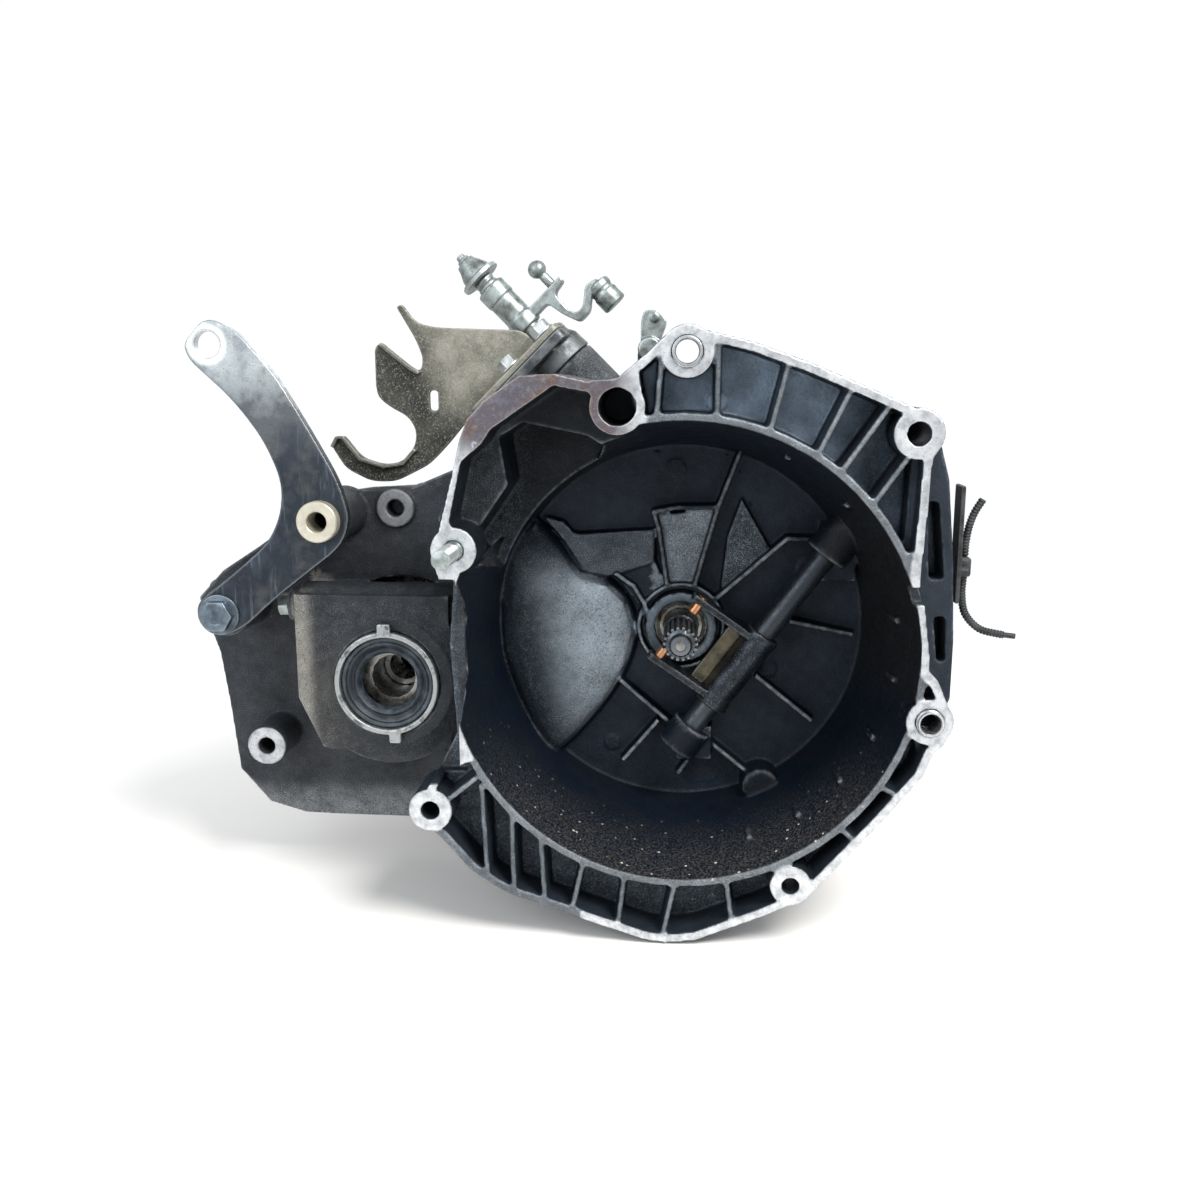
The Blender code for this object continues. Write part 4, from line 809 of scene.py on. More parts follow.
def paint_bell(obj):
    """The casting's broad tones, place by place, with painted sky reflections and a painted highlight among
    them.
    """
    place, normal = points_of(obj)
    edges = edges_of(obj)
    x, y, z = place.T
    r = np.hypot(x, z)
    facing = step(-normal[:, 1], 0.45, 0.85)
    count = len(place)
    tone = np.tile(np.array([0.040, 0.043, 0.050]), (count, 1))
    shine = np.full(count, 0.35)
    speckle = np.full(count, 0.18)

    def tint(mask, colour, gloss, light):
        nonlocal shine, speckle
        tone[:] = tone * (1 - mask[:, None]) + np.array(colour) * mask[:, None]
        shine = shine * (1 - mask) + gloss * mask
        speckle = speckle * (1 - mask) + light * mask

    front = step(-y, -40, -36) * step(r, 146, 148)
    on_flange = front * (x > -175)
    tint(on_flange, (0.030, 0.040, 0.055), 0.4, 0.05)
    # Pocket floors: a painted sky reflection, bright blue up high and fainter at the right and lower down.
    floors = on_flange * facing * step(y, 22, 25)
    high = step(z, 20, 110)
    tint(floors * high, (0.30, 0.39, 0.50), 0.45, 0.35)
    tint(floors * step(x, 80, 118) * high, (0.075, 0.10, 0.135), 0.6, 0.25)
    tint(floors * (1 - high), (0.050, 0.066, 0.088), 0.6, 0.45)
    tint(on_flange * facing * (y < 6), (0.15, 0.17, 0.19), 0.7, 0.5)
    cone = BELL_RADIUS - (BELL_RADIUS - BELL_FLOOR_RADIUS) * y / FLOOR_FRONT
    well = step(cone + 1.2 - r, 0, 0.6) * (y > 1.0) * (y < FLOOR_FRONT + 14)
    # The bell's inside: near black with grime, its blue tint a painted sky reflection.
    tint(well, (0.0016, 0.0052, 0.0120), 0.0, 0.01)
    tint(well * step(x, 70, 130) * step(z, -60, 0), (0.0070, 0.0070, 0.0085), 0.0, 0.02)
    rim = step(r, 144.2, 145.6) * step(-r, -150.5, -149.5) * (y < 4)
    tint(rim * facing, (0.19, 0.21, 0.23), 0.75, 0.5)
    # The bell's floor: dark with grime, tinted blue as a painted sky reflection.
    floor = well * facing * step(y, 84, 90)
    tint(floor, (0.0045, 0.0110, 0.0220), 0.1, 0.06)
    bulge = inside(place, BULGE) * facing * (y < 103)
    tint(bulge, (0.016, 0.024, 0.035), 0.4, 0.2)
    # A painted highlight: a bright, smooth gradient over part of the bulge.
    tint(bulge * step(x + 0.25 * z, -112, -62) * step(58 - z, 0, 34), (0.30, 0.35, 0.40), 0.8, 1.0)
    tint(inside(place, PLATEAU) * facing * (y < 103), (0.055, 0.068, 0.084), 0.5, 0.45)
    web = facing * (r > 31) * (r < 92) * (y > 99) * (y < 102.5) * (z > 24) * (x > -20)
    tint(web, (0.17, 0.20, 0.23), 0.65, 0.9)
    tint(web * step(x, 22, 30), (0.030, 0.040, 0.052), 0.5, 0.6)
    hub = facing * (r < 31) * (r > 17) * (y > 89) * (y < 112)
    tint(hub, (0.13, 0.165, 0.20), 0.8, 0.35)
    corner = (x < -24) * (z > 50) * (y > 1.5) * (x > -150) * inside(place, CORNER_HOLLOW)
    tint(corner * 1.0, (0.0055, 0.0085, 0.0130), 0.1, 0.05)
    tint(corner * facing * step(-x, 95, 125), (0.018, 0.023, 0.029), 0.3, 0.3)
    sole = step(-z, 118, 138) * (x < -165) * (y > 50)
    tint(sole, (0.16, 0.165, 0.17), 0.7, 0.9)
    tower = (x < -150) * (x > -262) * (z < 34) * (z > -84) * (y < 104)
    tint(tower * 1.0, (0.030, 0.033, 0.038), 0.35, 0.18)
    tint(tower * step(-x, 205, 250) * step(-z, -20, 40), (0.060, 0.056, 0.052), 0.4, 0.3)
    tint(tower * step(-x, 244, 254) * facing, (0.26, 0.235, 0.20), 0.4, 0.9)
    machined = (y < 0.9) * facing * 1.0
    for boss, level in ((EAR_BOSS, 66.0), (REAR_BOSS, 98.0)):
        near = (np.hypot(x - boss[0], z - boss[1]) < boss[2] + 1) * facing * (np.abs(y - level) < 1.0)
        machined = np.maximum(machined, near * (0.75 if boss is EAR_BOSS else 0.25))
    dull = (x < -95) * (z < -115) + (x > 145) * (z > 20) * (z < 128)
    machined = machined * (1 - 0.45 * np.clip(dull, 0, 1))
    rust = machined * step(-x, 24, 44) * step(z + 0.35 * x, 72, 92)
    dust = well * step(-z, 40, 110) * step(-y, -80, -6) * 0.95 + floors * (1 - high) * 0.3
    dust += rim * (z < -60) * 0.5
    dust = np.clip(dust, 0, 1)
    for name, values in (("shine", shine), ("speckle", speckle), ("rust", rust), ("dust", dust)):
        store(obj, name, np.asarray(values, float))
    store(obj, "machined", spread(machined.astype(float), edges, 1))
    store(obj, "tone", tone)


def bell():
    """The clutch bell housing, with its turned faces brought back to exact sizes."""
    parts = [copy_of("bell_housing"), *bell_extras(), *skirt_ribs()]
    obj = refined(fused(parts, "bell_casting", 1.15, 3, 150000), 4.5)
    rounds = [(INPUT, (BELL_RADIUS, BELL_FLOOR_RADIUS), 0.6, FLOOR_FRONT - 1), (INPUT, 149.5, 3, 26)]
    rounds += [((x, z), radius, 0.6, 26) for x, z, radius, _ in FLANGE_BOSSES.values()]
    rounds += [((x, z), bore, 0.9, 41) for x, z, _, bore in FLANGE_BOSSES.values()]
    rounds += [(EAR_BOSS[:2], 13.5, 66.5, 100), (FINAL, 44.2, 51, 54)]
    snap_rounds(obj, rounds, (0.0, 1.6, 27.0, 50.0, 66.0, 98.0))
    paint_bell(obj)
    return piece(obj, "bell_casting", "housing", "bell", ["bell_housing"], smooth=0, wear=0.85, grime_and_shade=0.9)


def around(circles, steps=24):
    """The convex outline round a few circles given as (x, z, radius)."""
    angles = [math.tau * i / steps for i in range(steps)]
    points = [(x + radius * math.cos(a), z + radius * math.sin(a)) for x, z, radius in circles for a in angles]
    points.sort()
    chain = []
    for path in (points, points[::-1]):
        half = []
        for point in path:
            while len(half) > 1 and turns_right(half[-2], half[-1], point):
                half.pop()
            half.append(point)
        chain += half[:-1]
    return chain


def turns_right(a, b, c):
    return (b[0] - a[0]) * (c[1] - a[1]) - (b[1] - a[1]) * (c[0] - a[0]) <= 0


JOINT_OUTLINE = [
    (-345, 14), (-332, -26), (-327, -64), (-322, -114), (-301, -139), (-274, -147), (-191, -148),
    (-130, -131), (-60, -104), (0, -90), (52, -64), (72, -25), (72, 22), (50, 62), (20, 104), (-8, 146),
    (-58, 158), (-108, 144), (-150, 110), (-188, 94), (-222, 92), (-248, 88), (-298, 52), (-326, 34),
]
DEEP_CIRCLES = ((0.0, 0.0, 58.0), (-75.0, -12.3, 72.0), (-56.0, 104.0, 32.0), (6.0, -46.0, 34.0))
COVER_CIRCLES = ((0.0, 0.0, 56.0), (-75.0, -12.3, 56.0), (-44.0, 84.0, 20.0))


def stations(outline, spacing, inset=0.0):
    """Points a spacing apart along an outline, moved in from it, with the way out from it at each."""
    total = sum(math.dist(a, b) for a, b in zip(outline, outline[1:] + outline[:1]))
    count = round(total / spacing)
    found = []
    done = 0.0
    target = 0.0
    for a, b in zip(outline, outline[1:] + outline[:1]):
        length = math.dist(a, b)
        while target < done + length and len(found) < count:
            t = (target - done) / length
            out = Vector((b[1] - a[1], a[0] - b[0])).normalized()
            found.append((Vector(a).lerp(Vector(b), t) - out * inset, out))
            target += total / count
        done += length
    return found


def paint_case(obj, front):
    """A dull grey casting, darker lower down and oily at the joint, with light speckle that is grain and, on
    faces that look up, also a painted highlight.
    """
    place, normal = points_of(obj)
    x, y, z = place.T
    low = step(-z, -20, 110)
    tone = np.array([0.115, 0.12, 0.125]) * (1 - low[:, None]) + np.array([0.04, 0.041, 0.045]) * low[:, None]
    seam = step(-np.abs(y - front), -16, -2)
    tone = tone * (1 - 0.6 * seam[:, None])
    store(obj, "tone", tone)
    store(obj, "shine", np.full(len(place), 0.55) - 0.3 * low)
    # Faces that look up get more light speckle: a painted highlight where light falls from above.
    store(obj, "speckle", 0.35 + 0.3 * step(normal[:, 2], 0.2, 0.9))
    for name in ("rust", "machined", "dust"):
        store(obj, name, np.zeros(len(place)))


def long_rib(point, out, reach, first, last):
    """A rib along Y that stands out from a wall."""
    base = Vector((point[0], 0.0, point[1]))
    out = Vector((out[0], 0.0, out[1]))
    side = out.cross(Y_AXIS) * 1.7
    foot = base - out * 3
    rise = out * reach
    points = [foot + Y_AXIS * first, base + rise + Y_AXIS * first]
    points += [base + rise * 0.8 + Y_AXIS * last, foot + Y_AXIS * last]
    return skinned([[p + side for p in points], [p - side for p in points]])


def case():
    """The gear casing with its bolt bosses, ribs and drain boss."""
    parts = [copy_of("gear_case")]
    bolts = []
    for place, _ in stations(JOINT_OUTLINE, 62.0, 8.5):
        centre = (place.x, 0, place.y)
        parts.append(turned([(8, 118.4), (8, 138), (7, 139.5)], centre))
        bolts.append(bolt(13, 7, (place.x, 148.4, place.y), (0, -1, 0), 8.4, 1.6))
    for place, out in stations(around(DEEP_CIRCLES), 34.0):
        parts.append(long_rib(place, out, 4.5, 165.0, 298.0))
    profile = [(44, 210), (46, 217.5), (75, 204), (104, 187), (106, 170), (44, 170)]
    centre = Vector(FINAL)
    for degrees in range(60, 330, 30):
        angle = math.radians(degrees)
        out = Vector((math.cos(angle), math.sin(angle)))
        side = Vector((-out.y, 0, out.x)) * 1.8
        points = [Vector((centre.x + out.x * u, y, centre.y + out.y * u)) for u, y in profile]
        parts.append(skinned([[p + side for p in points], [p - side for p in points]]))
    parts.append(turned([(14, 150), (14, 176), (12, 178)], at(DRAIN_BOSS)))
    bolts.append(bolt(19, 7, (DRAIN_BOSS[0], 186, DRAIN_BOSS[1]), (0, -1, 0), 13.0, 1.4))
    for place, _ in stations(around([(x, z, r + 6) for x, z, r in COVER_CIRCLES]), 52.0, 6.0):
        parts.append(turned([(7.5, 280), (7.5, 299.9)], (place.x, 0, place.y)))
    obj = refined(fused(parts, "case_casting", 1.7, 3, 90000), 9.0)
    paint_case(obj, JOINT)
    piece(obj, "case_casting", "housing", "case", ["gear_case"], smooth=0, wear=0.8, grime_and_shade=0.9)
    made = join([bevelled(part, 0.3, 1) for part in bolts], "case_bolts")
    piece(made, "case_bolts", "housing", "zinc", slot="arm_bolt")


def cover():
    """The end cover with its bolts, ribs and two raised rings over the shafts."""
    parts = [copy_of("end_cover")]
    bolts = []
    outline = around([(x, z, r + 6) for x, z, r in COVER_CIRCLES])
    for place, _ in stations(outline, 52.0, 6.0):
        parts.append(turned([(7.5, 300.6), (7.5, 316), (6.5, 317)], (place.x, 0, place.y)))
        bolts.append(bolt(13, 7, (place.x, 325.6, place.y), (0, -1, 0), 8.2, 1.6))
    for place, out in stations(around(COVER_CIRCLES), 26.0):
        parts.append(long_rib(place, out, 3.0, 306.0, 359.0))
    for (x, z), radius in (((0, 0), 30), ((-75, -12.3), 34)):
        parts.append(sleeve(radius - 4, radius, 358, 361.9, (x, 0, z)))
    obj = refined(fused(parts, "cover_casting", 1.2, 3, 60000), 8.0)
    paint_case(obj, CASE_BACK)
    piece(obj, "cover_casting", "housing", "case", ["end_cover"], smooth=0, wear=0.8, grime_and_shade=0.9)
    made = join([bevelled(part, 0.3, 1) for part in bolts], "cover_bolts")
    piece(made, "cover_bolts", "housing", "zinc", slot="arm_bolt")


ARM_OUTLINE = [
    (-322, 190), (-306, 208), (-288, 200), (-263, 172), (-242, 136), (-224, 103),
    (-217, 78), (-224, 60), (-254, 37), (-272, 23), (-293, 4), (-310, -3), (-324, 5), (-325, 20),
    (-295, 43), (-272, 63), (-263, 83), (-262, 103), (-272, 129), (-291, 155), (-318, 180),
]


def arm():
    """The mounting arm with its spacer and bolt, and the plug beside it."""
    plate_shape = plate(rounded(ARM_OUTLINE, 14.0), 51.0, 59.0)
    holes = ((ARM_EYE, 8.5), (ARM_SPACER, 8.3), (ARM_BOLT, 6.5))
    cutters = [turned([(radius, 50), (radius, 60)], at(centre)) for centre, radius in holes]
    obj = fused([cut(plate_shape, cutters)], "mount_arm_plate", 0.9, 3, 70000)
    place, _ = points_of(obj)
    upper = step(place[:, 2], 100, 200) * 0.9
    store(obj, "upper", upper)
    store(obj, "eye", 1 - step(np.hypot(place[:, 0] - ARM_EYE[0], place[:, 2] - ARM_EYE[1]), 11.5, 14.5))
    piece(obj, "mount_arm_plate", "housing", "arm", ["mount_arm"], smooth=0, wear=0.9, grime_and_shade=0.3)
    profile = [
        (6.7, 42.6), (7.3, 42), (12.8, 42), (13.5, 42.8), (13.5, 50.7), (8, 50.7), (8, 59.6), (6.7, 59.6),
    ]
    spacer = turned(profile, at(ARM_SPACER), bored=True)
    piece(spacer, "arm_spacer_ring", "housing", "cream", ["arm_spacer"])
    head = bevelled(bolt(19.5, 6.5, (ARM_BOLT[0], 42.2, ARM_BOLT[1]), (0, 1, 0), 13.8, 1.9, 6.0, 33.0), 0.35, 2)
    piece(head, "arm_bolt_hex", "housing", "blue_zinc", ["arm_bolt"])
    plug = bevelled(bolt(14.6, 7, (-274, 72, 17), (1, 0, 0), 0, 0, 5.6, 12.0), 0.3, 2)
    piece(plug, "cross_plug_hex", "housing", "zinc", ["cross_plug"])


def arm_shade():
    """Dark steel with brushed patches, and bare galvanised metal towards the eye."""
    shade = Shade("arm_steel", Metallic=0.9)
    patch = shade.noise(38.0, 6.0, 0.62)
    fine = shade.noise(900.0, 3.0)
    brushed = shade.noise(300.0, 3.0, 0.6, (1.0, 1.0, 0.12))
    dark = shade.blend(shade.range(patch, 0.38, 0.64), (0.060, 0.072, 0.090), (0.020, 0.024, 0.031))
    dark = shade.blend(shade.range(brushed, 0.56, 0.70, 0.0, 0.5), dark, (0.20, 0.225, 0.26))
    pale = shade.blend(shade.range(patch, 0.40, 0.60), (0.56, 0.60, 0.60), (0.30, 0.33, 0.345))
    pale = shade.blend(shade.range(fine, 0.58, 0.70, 0.0, 0.7), pale, (0.16, 0.17, 0.18))
    reach = shade.calc("ADD", shade.attribute("upper"), shade.range(patch, 0.3, 0.7, -0.3, 0.3))
    middle = shade.blend(shade.range(reach, 0.02, 0.34), dark, (0.13, 0.14, 0.15))
    base = shade.blend(shade.range(reach, 0.42, 0.72), middle, pale)
    base = shade.blend(shade.attribute("eye"), base, (0.80, 0.83, 0.83))
    base = shade.blend(shade.attribute("wear"), base, (0.42, 0.46, 0.48))
    shade.link("Base Color", base)
    shade.link("Roughness", shade.range(brushed, 0.3, 0.7, 0.32, 0.56))
    shade.bump(shade.calc("ADD", fine, brushed), 0.00012)
    return shade.material


def differential_front():
    """The adjusting ring with its lugs and chipped rim, and the seals in it."""
    x, z = FINAL
    rim = [(31.6, 46.6), (32.4, 46), (34.8, 46), (35.5, 47), (35.5, 65), (31.6, 65)]
    ring_parts = [turned(rim, at(FINAL), bored=True)]
    for left, right, low, high in ((-5, 4, 33, 41), (1, 9, -41, -33)):
        lug = rectangle(x + left, x + right, z + low, z + high)
        ring_parts.append(plate(rounded(lug, 1.5), 45.7, 49.5))
    for degrees in range(0, 360, 45):
        angle = math.radians(degrees + 20)
        centre = (x + 33.6 * math.cos(angle), 45.9, z + 33.6 * math.sin(angle))
        ring_parts.append(turned([(1.6, 0), (1.6, 4)], centre, steps=24))
    obj = fused(ring_parts, "differential_ring_rim", 0.6, 2, 50000)
    piece(obj, "differential_ring_rim", "housing", "rim", ["differential_ring"], smooth=0)
    left = [
        (19.0, 56), (19.8, 53.2), (20.8, 51.6), (21.8, 50.6), (23.0, 51.6), (24.0, 53.0), (25.2, 52.6),
        (25.8, 50.4), (27.2, 49.7), (28.2, 50.6), (28.8, 49.4), (30.4, 49.2), (31.1, 50.0),
        (31.1, 62), (19.0, 58),
    ]
    obj = turned(left, at(FINAL), bored=True, steps=96)
    piece(obj, "seal_left_lips", "housing", "seal", ["differential_seal_left"], smooth=60, wear=0.8)
    right = [
        (19, 209), (20, 211), (22, 213), (24, 212), (26, 214), (30.6, 214), (31.3, 213), (31.3, 206), (24, 206),
    ]
    obj = turned(right, at(FINAL), bored=True, steps=96)
    piece(obj, "seal_right_lips", "housing", "seal", ["differential_seal_right"], smooth=60, wear=0.8)


def shaft_nose():
    """The input shaft's tip and spline, over the plain solid's."""
    teeth = 18

    def spline(angle):
        return 10.35 + 0.93 * max(-1.0, min(1.0, 2.6 * math.cos(angle * teeth)))

    def spline_start(angle):
        return min(spline(angle), 10.4)

    profile = [(2.4, 40), (2.6, 36.1), (4.6, 35.9), (6.3, 36.3), (7.5, 38), (7.5, 40.8), (9.25, 41.8)]
    profile += [(spline_start, 41.9), (spline, 43.4), (spline, 76), (9.5, 76.3), (11.6, 78), (12.05, 98)]
    rings = [ring(radius, y, teeth * 12) for radius, y in profile]
    obj = skinned(rings)
    piece(obj, "input_spline", "input", "spline", slot="input_shaft", smooth=40)


def sleeves_and_stud():
    """The flange's two dowel sleeves and its stud."""
    for name, key in (("dowel_sleeve_top", "top"), ("dowel_sleeve_right", "right")):
        x, z, _, bore = FLANGE_BOSSES[key]
        outer = bore - 0.3
        profile = [(outer - 2.2, -3.2), (outer - 1.6, -4), (outer - 0.8, -4), (outer, -2.8), (outer, 14)]
        profile.append((outer - 2.2, 14))
        obj = turned(profile, (x, 0, z), bored=True)
        piece(obj, name + "_tube", "housing", "bright", [name])
    rings = [ring(3.6, -38, 36), ring(4.6, -37.2, 36), *thread(5.9, -37, -10, 1.5, 0.9), ring(5.0, -8, 36)]
    rings += [ring(5.0, -4, 36), ring(5.9, -3, 36), ring(5.9, 30, 36)]
    x, z = FLANGE_BOSSES["stud"][:2]
    obj = skinned(rings, matrix=aim((x, 0, z), (0, 1, 0)))
    piece(obj, "stud_thread", "housing", "zinc", ["flange_stud"], smooth=50, wear=0.9)


WING_OUTLINE = [
    (-200, 217), (-196, 219), (-186, 206), (-172, 203), (-112, 201), (-100, 190), (-150, 141), (-166, 122),
    (-180, 108), (-204, 96), (-222, 96), (-240, 105), (-250, 121), (-246, 128), (-240, 128), (-228, 113),
    (-212, 108), (-199, 110), (-190, 120), (-188, 132), (-194, 142), (-206, 148), (-216, 156), (-216, 190),
    (-211, 193), (-200, 184), (-190, 176), (-184, 173), (-182, 182), (-187, 195),
]
SELECTOR_FOOT = [(-66, -33), (16, -33), (19, 0), (16, 20), (-40, 20), (-66, 4)]


def bracket():
    """The cable bracket: a wing with hooked slots and rolled lips, and a foot on the selector's plate."""
    wing = plate(rounded(WING_OUTLINE, 6.0, 4), 124.0, 128.0)
    slot = plate(rounded(rectangle(-178, -172, 146, 160), 2.5, 4), 120.0, 132.0)
    foot = sheet(rounded(SELECTOR_FOOT, 5.0), along_selector(2.0), SELECTOR_SIDE, (0, 1, 0), 4.0)
    cutters = [on_selector([(14.3, -4), (14.3, 8)])]
    for place in BRACKET_BOLTS:
        cutters.append(turned([(4.3, -4), (4.3, 8)], along_selector(0, *place), SELECTOR_UP))
    lips = []
    for path in (WING_OUTLINE[12:19], WING_OUTLINE[24:28]):
        outer = [tuple(Vector(p)) for p in path]
        band = []
        for i, point in enumerate(outer):
            ahead = Vector(outer[min(i + 1, len(outer) - 1)]) - Vector(outer[max(i - 1, 0)])
            band.append(Vector(point) + Vector((ahead.y, -ahead.x)).normalized() * 2.6)
        lips.append(plate([*outer, *[tuple(p) for p in reversed(band)]], 120.5, 127.0))
    parts = [cut(wing, [slot]), cut(foot, cutters), *lips]
    obj = fused(parts, "cable_bracket_plate", 0.8, 2, 80000)
    place, _ = points_of(obj)
    side = step(-place[:, 0] - 0.35 * place[:, 2], 96, 132) * step(place[:, 1], 100, 118)
    lower = step(-place[:, 2], -172, -128) * step(place[:, 1], 100, 118)
    store(obj, "dark", np.maximum(side, lower))
    piece(obj, "cable_bracket_plate", "housing", "bracket", ["cable_bracket"], smooth=0, grime_and_shade=0.6)
    for name, place in zip(("bracket_bolt_left", "bracket_bolt_right"), BRACKET_BOLTS):
        head = bolt(13, 6.2, along_selector(12.2, *place), -SELECTOR_UP, 8.2, 1.6, 4.0, 10.0)
        head = bevelled(head, 0.3, 2)
        piece(head, name + "_hex", "housing", "bright_zinc", [name])


def bracket_shade():
    """Beige passivated sheet with a fine grain, darker and greener on the wing, worn bright on its edges."""
    shade = Shade("bracket_sheet", Metallic=0.45)
    patch = shade.noise(55.0, 6.0, 0.64)
    fine = shade.noise(820.0, 4.0, 0.7)
    beige = shade.blend(shade.range(patch, 0.38, 0.62), (0.33, 0.315, 0.26), (0.19, 0.185, 0.155))
    olive = shade.blend(shade.range(patch, 0.38, 0.62), (0.060, 0.062, 0.050), (0.024, 0.025, 0.022))
    base = shade.blend(shade.attribute("dark"), beige, olive)
    base = shade.blend(shade.range(fine, 0.54, 0.66, 0.0, 0.55), base, (0.46, 0.45, 0.40))
    base = shade.blend(shade.range(fine, 0.32, 0.42, 0.6, 0.0), base, (0.035, 0.034, 0.030))
    base = shade.blend(shade.calc("MULTIPLY", shade.attribute("wear"), 0.8), base, (0.60, 0.59, 0.52))
    # Corners darken: grime, together with painted shade.
    base = shade.blend(shade.attribute("grime_and_shade"), base, (0.03, 0.029, 0.025))
    shade.link("Base Color", base)
    shade.link("Roughness", shade.range(patch, 0.3, 0.7, 0.42, 0.66))
    shade.bump(fine, 0.00016)
    return shade.material


def selector():
    """The selector's turret, shaft, cap and lever."""
    foot = sheet(rounded(SELECTOR_FOOT, 5.0), along_selector(-4.0), SELECTOR_SIDE, (0, 1, 0), 7.4)
    holes = [on_selector([(9, -9), (9, 1)])]
    for place in BRACKET_BOLTS:
        holes.append(turned([(4.3, -10), (4.3, 1)], along_selector(0, *place), SELECTOR_UP))
    dome = [(8.3, 7), (13, 7), (14, 6), (14.4, -1), (19, -3), (21.5, -7), (22, -19.6), (8.3, -19.6)]
    parts = [cut(foot, holes), on_selector(dome, True)]
    obj = fused(parts, "selector_turret_dome", 0.8, 3, 60000)
    piece(obj, "selector_turret_dome", "housing", "turret", ["selector_turret"], smooth=0)
    finger = rounded(rectangle(0, 11.5, -62, -52), 2.0)
    finger = sheet(finger, SELECTOR_POINT, SELECTOR_SIDE, SELECTOR_UP, 8.0)
    rod = on_selector([(7, -64), (8, -63), (8, 58), (7.2, 58.6), (7.2, 60.4), (8, 61), (7.4, 63)])
    obj = fused([rod, finger], "selector_rod", 0.8, 2, 30000)
    piece(obj, "selector_rod", "selector", "zinc", ["selector_shaft"], smooth=0)
    cap = [
        (14.4, 63.4), (15, 64), (15, 66.4), (13.8, 67.4), (11.6, 68), (11, 71), (8.4, 76), (7, 80), (4.8, 81),
        (4.5, 82.5), (3.4, 83), (3, 85.6), (2.4, 86),
    ]
    obj = on_selector(cap)
    piece(obj, "selector_cap_nose", "select_slide", "zinc", ["selector_cap"])
    strap = [
        (8, 19), (21, 19), (23.5, 6), (28, -6), (38, -6), (49, 3), (57, 2), (57, 7), (48, 9), (37, 0),
        (31, 0), (28, 6), (29, 20), (40, 22), (40, 26), (8, 26),
    ]
    tube = [
        (8.4, 17), (10.4, 17), (11, 17.8), (11, 27), (10.2, 27.6), (10.2, 44), (11, 45), (11, 55), (10.2, 56),
        (8.4, 56),
    ]
    ball = [
        (3.5, 22), (3.5, 34), (2.9, 35.5), (4.6, 36.6), (6.1, 38.6), (6.5, 41), (6.1, 43.4), (4.6, 45.6),
        (2, 47),
    ]
    weight = [(8, -15), (9, -14), (9, -4), (8.2, -3), (8.2, -1), (9, 0), (9, 4), (8, 5)]
    crank = sheet(rounded(strap, 3.0), SELECTOR_POINT, SELECTOR_SIDE, SELECTOR_UP, 14.0)
    parts = [
        on_selector(tube, True),
        cut(crank, [on_selector([(8.35, 10), (8.35, 60)])]),
        turned(weight, along_selector(0, 54), SELECTOR_UP),
        turned(ball, along_selector(0, 32), SELECTOR_UP),
    ]
    obj = fused(parts, "shift_lever_crank", 0.65, 3, 70000)
    piece(obj, "shift_lever_crank", "selector", "zinc", ["shift_lever"], smooth=0)


def relay():
    """The relay lever and the post that it swings on."""
    pivot = at(RELAY_PIVOT)
    post = [(-30, 146.0), (-14, 142.3), (-15, 182), (-16, 194), (-28, 196), (-33, 186)]
    body = cut(plate(rounded(post, 4.0), 131.0, 141.0), [turned([(4.3, 120), (4.3, 150)], pivot)])
    boss = sleeve(4.3, 7.2, 131, 141, pivot)
    obj = fused([body, boss], "relay_post", 0.7, 3, 30000)
    piece(obj, "relay_post", "housing", "dark_steel", ["relay_bracket"], smooth=0)
    lever = rounded([(-30, 190), (-20, 184), (-12, 206), (-18, 214), (-28, 214), (-30, 206)], 3.0)
    hub = [(3.4, 116), (4.4, 115.9), (7.4, 116), (8, 117), (8, 130.7), (4, 130.8), (4, 143), (3.2, 144)]
    parts = [plate(lever, 118.0, 124.0), turned(hub, pivot)]
    parts.append(turned([(2.6, 117.2), (3.4, 118), (3.4, 124)], (-21, 0, 209)))
    obj = fused(parts, "relay_crank", 0.6, 2, 30000)
    piece(obj, "relay_crank", "relay", "zinc", ["relay_lever"], smooth=0)


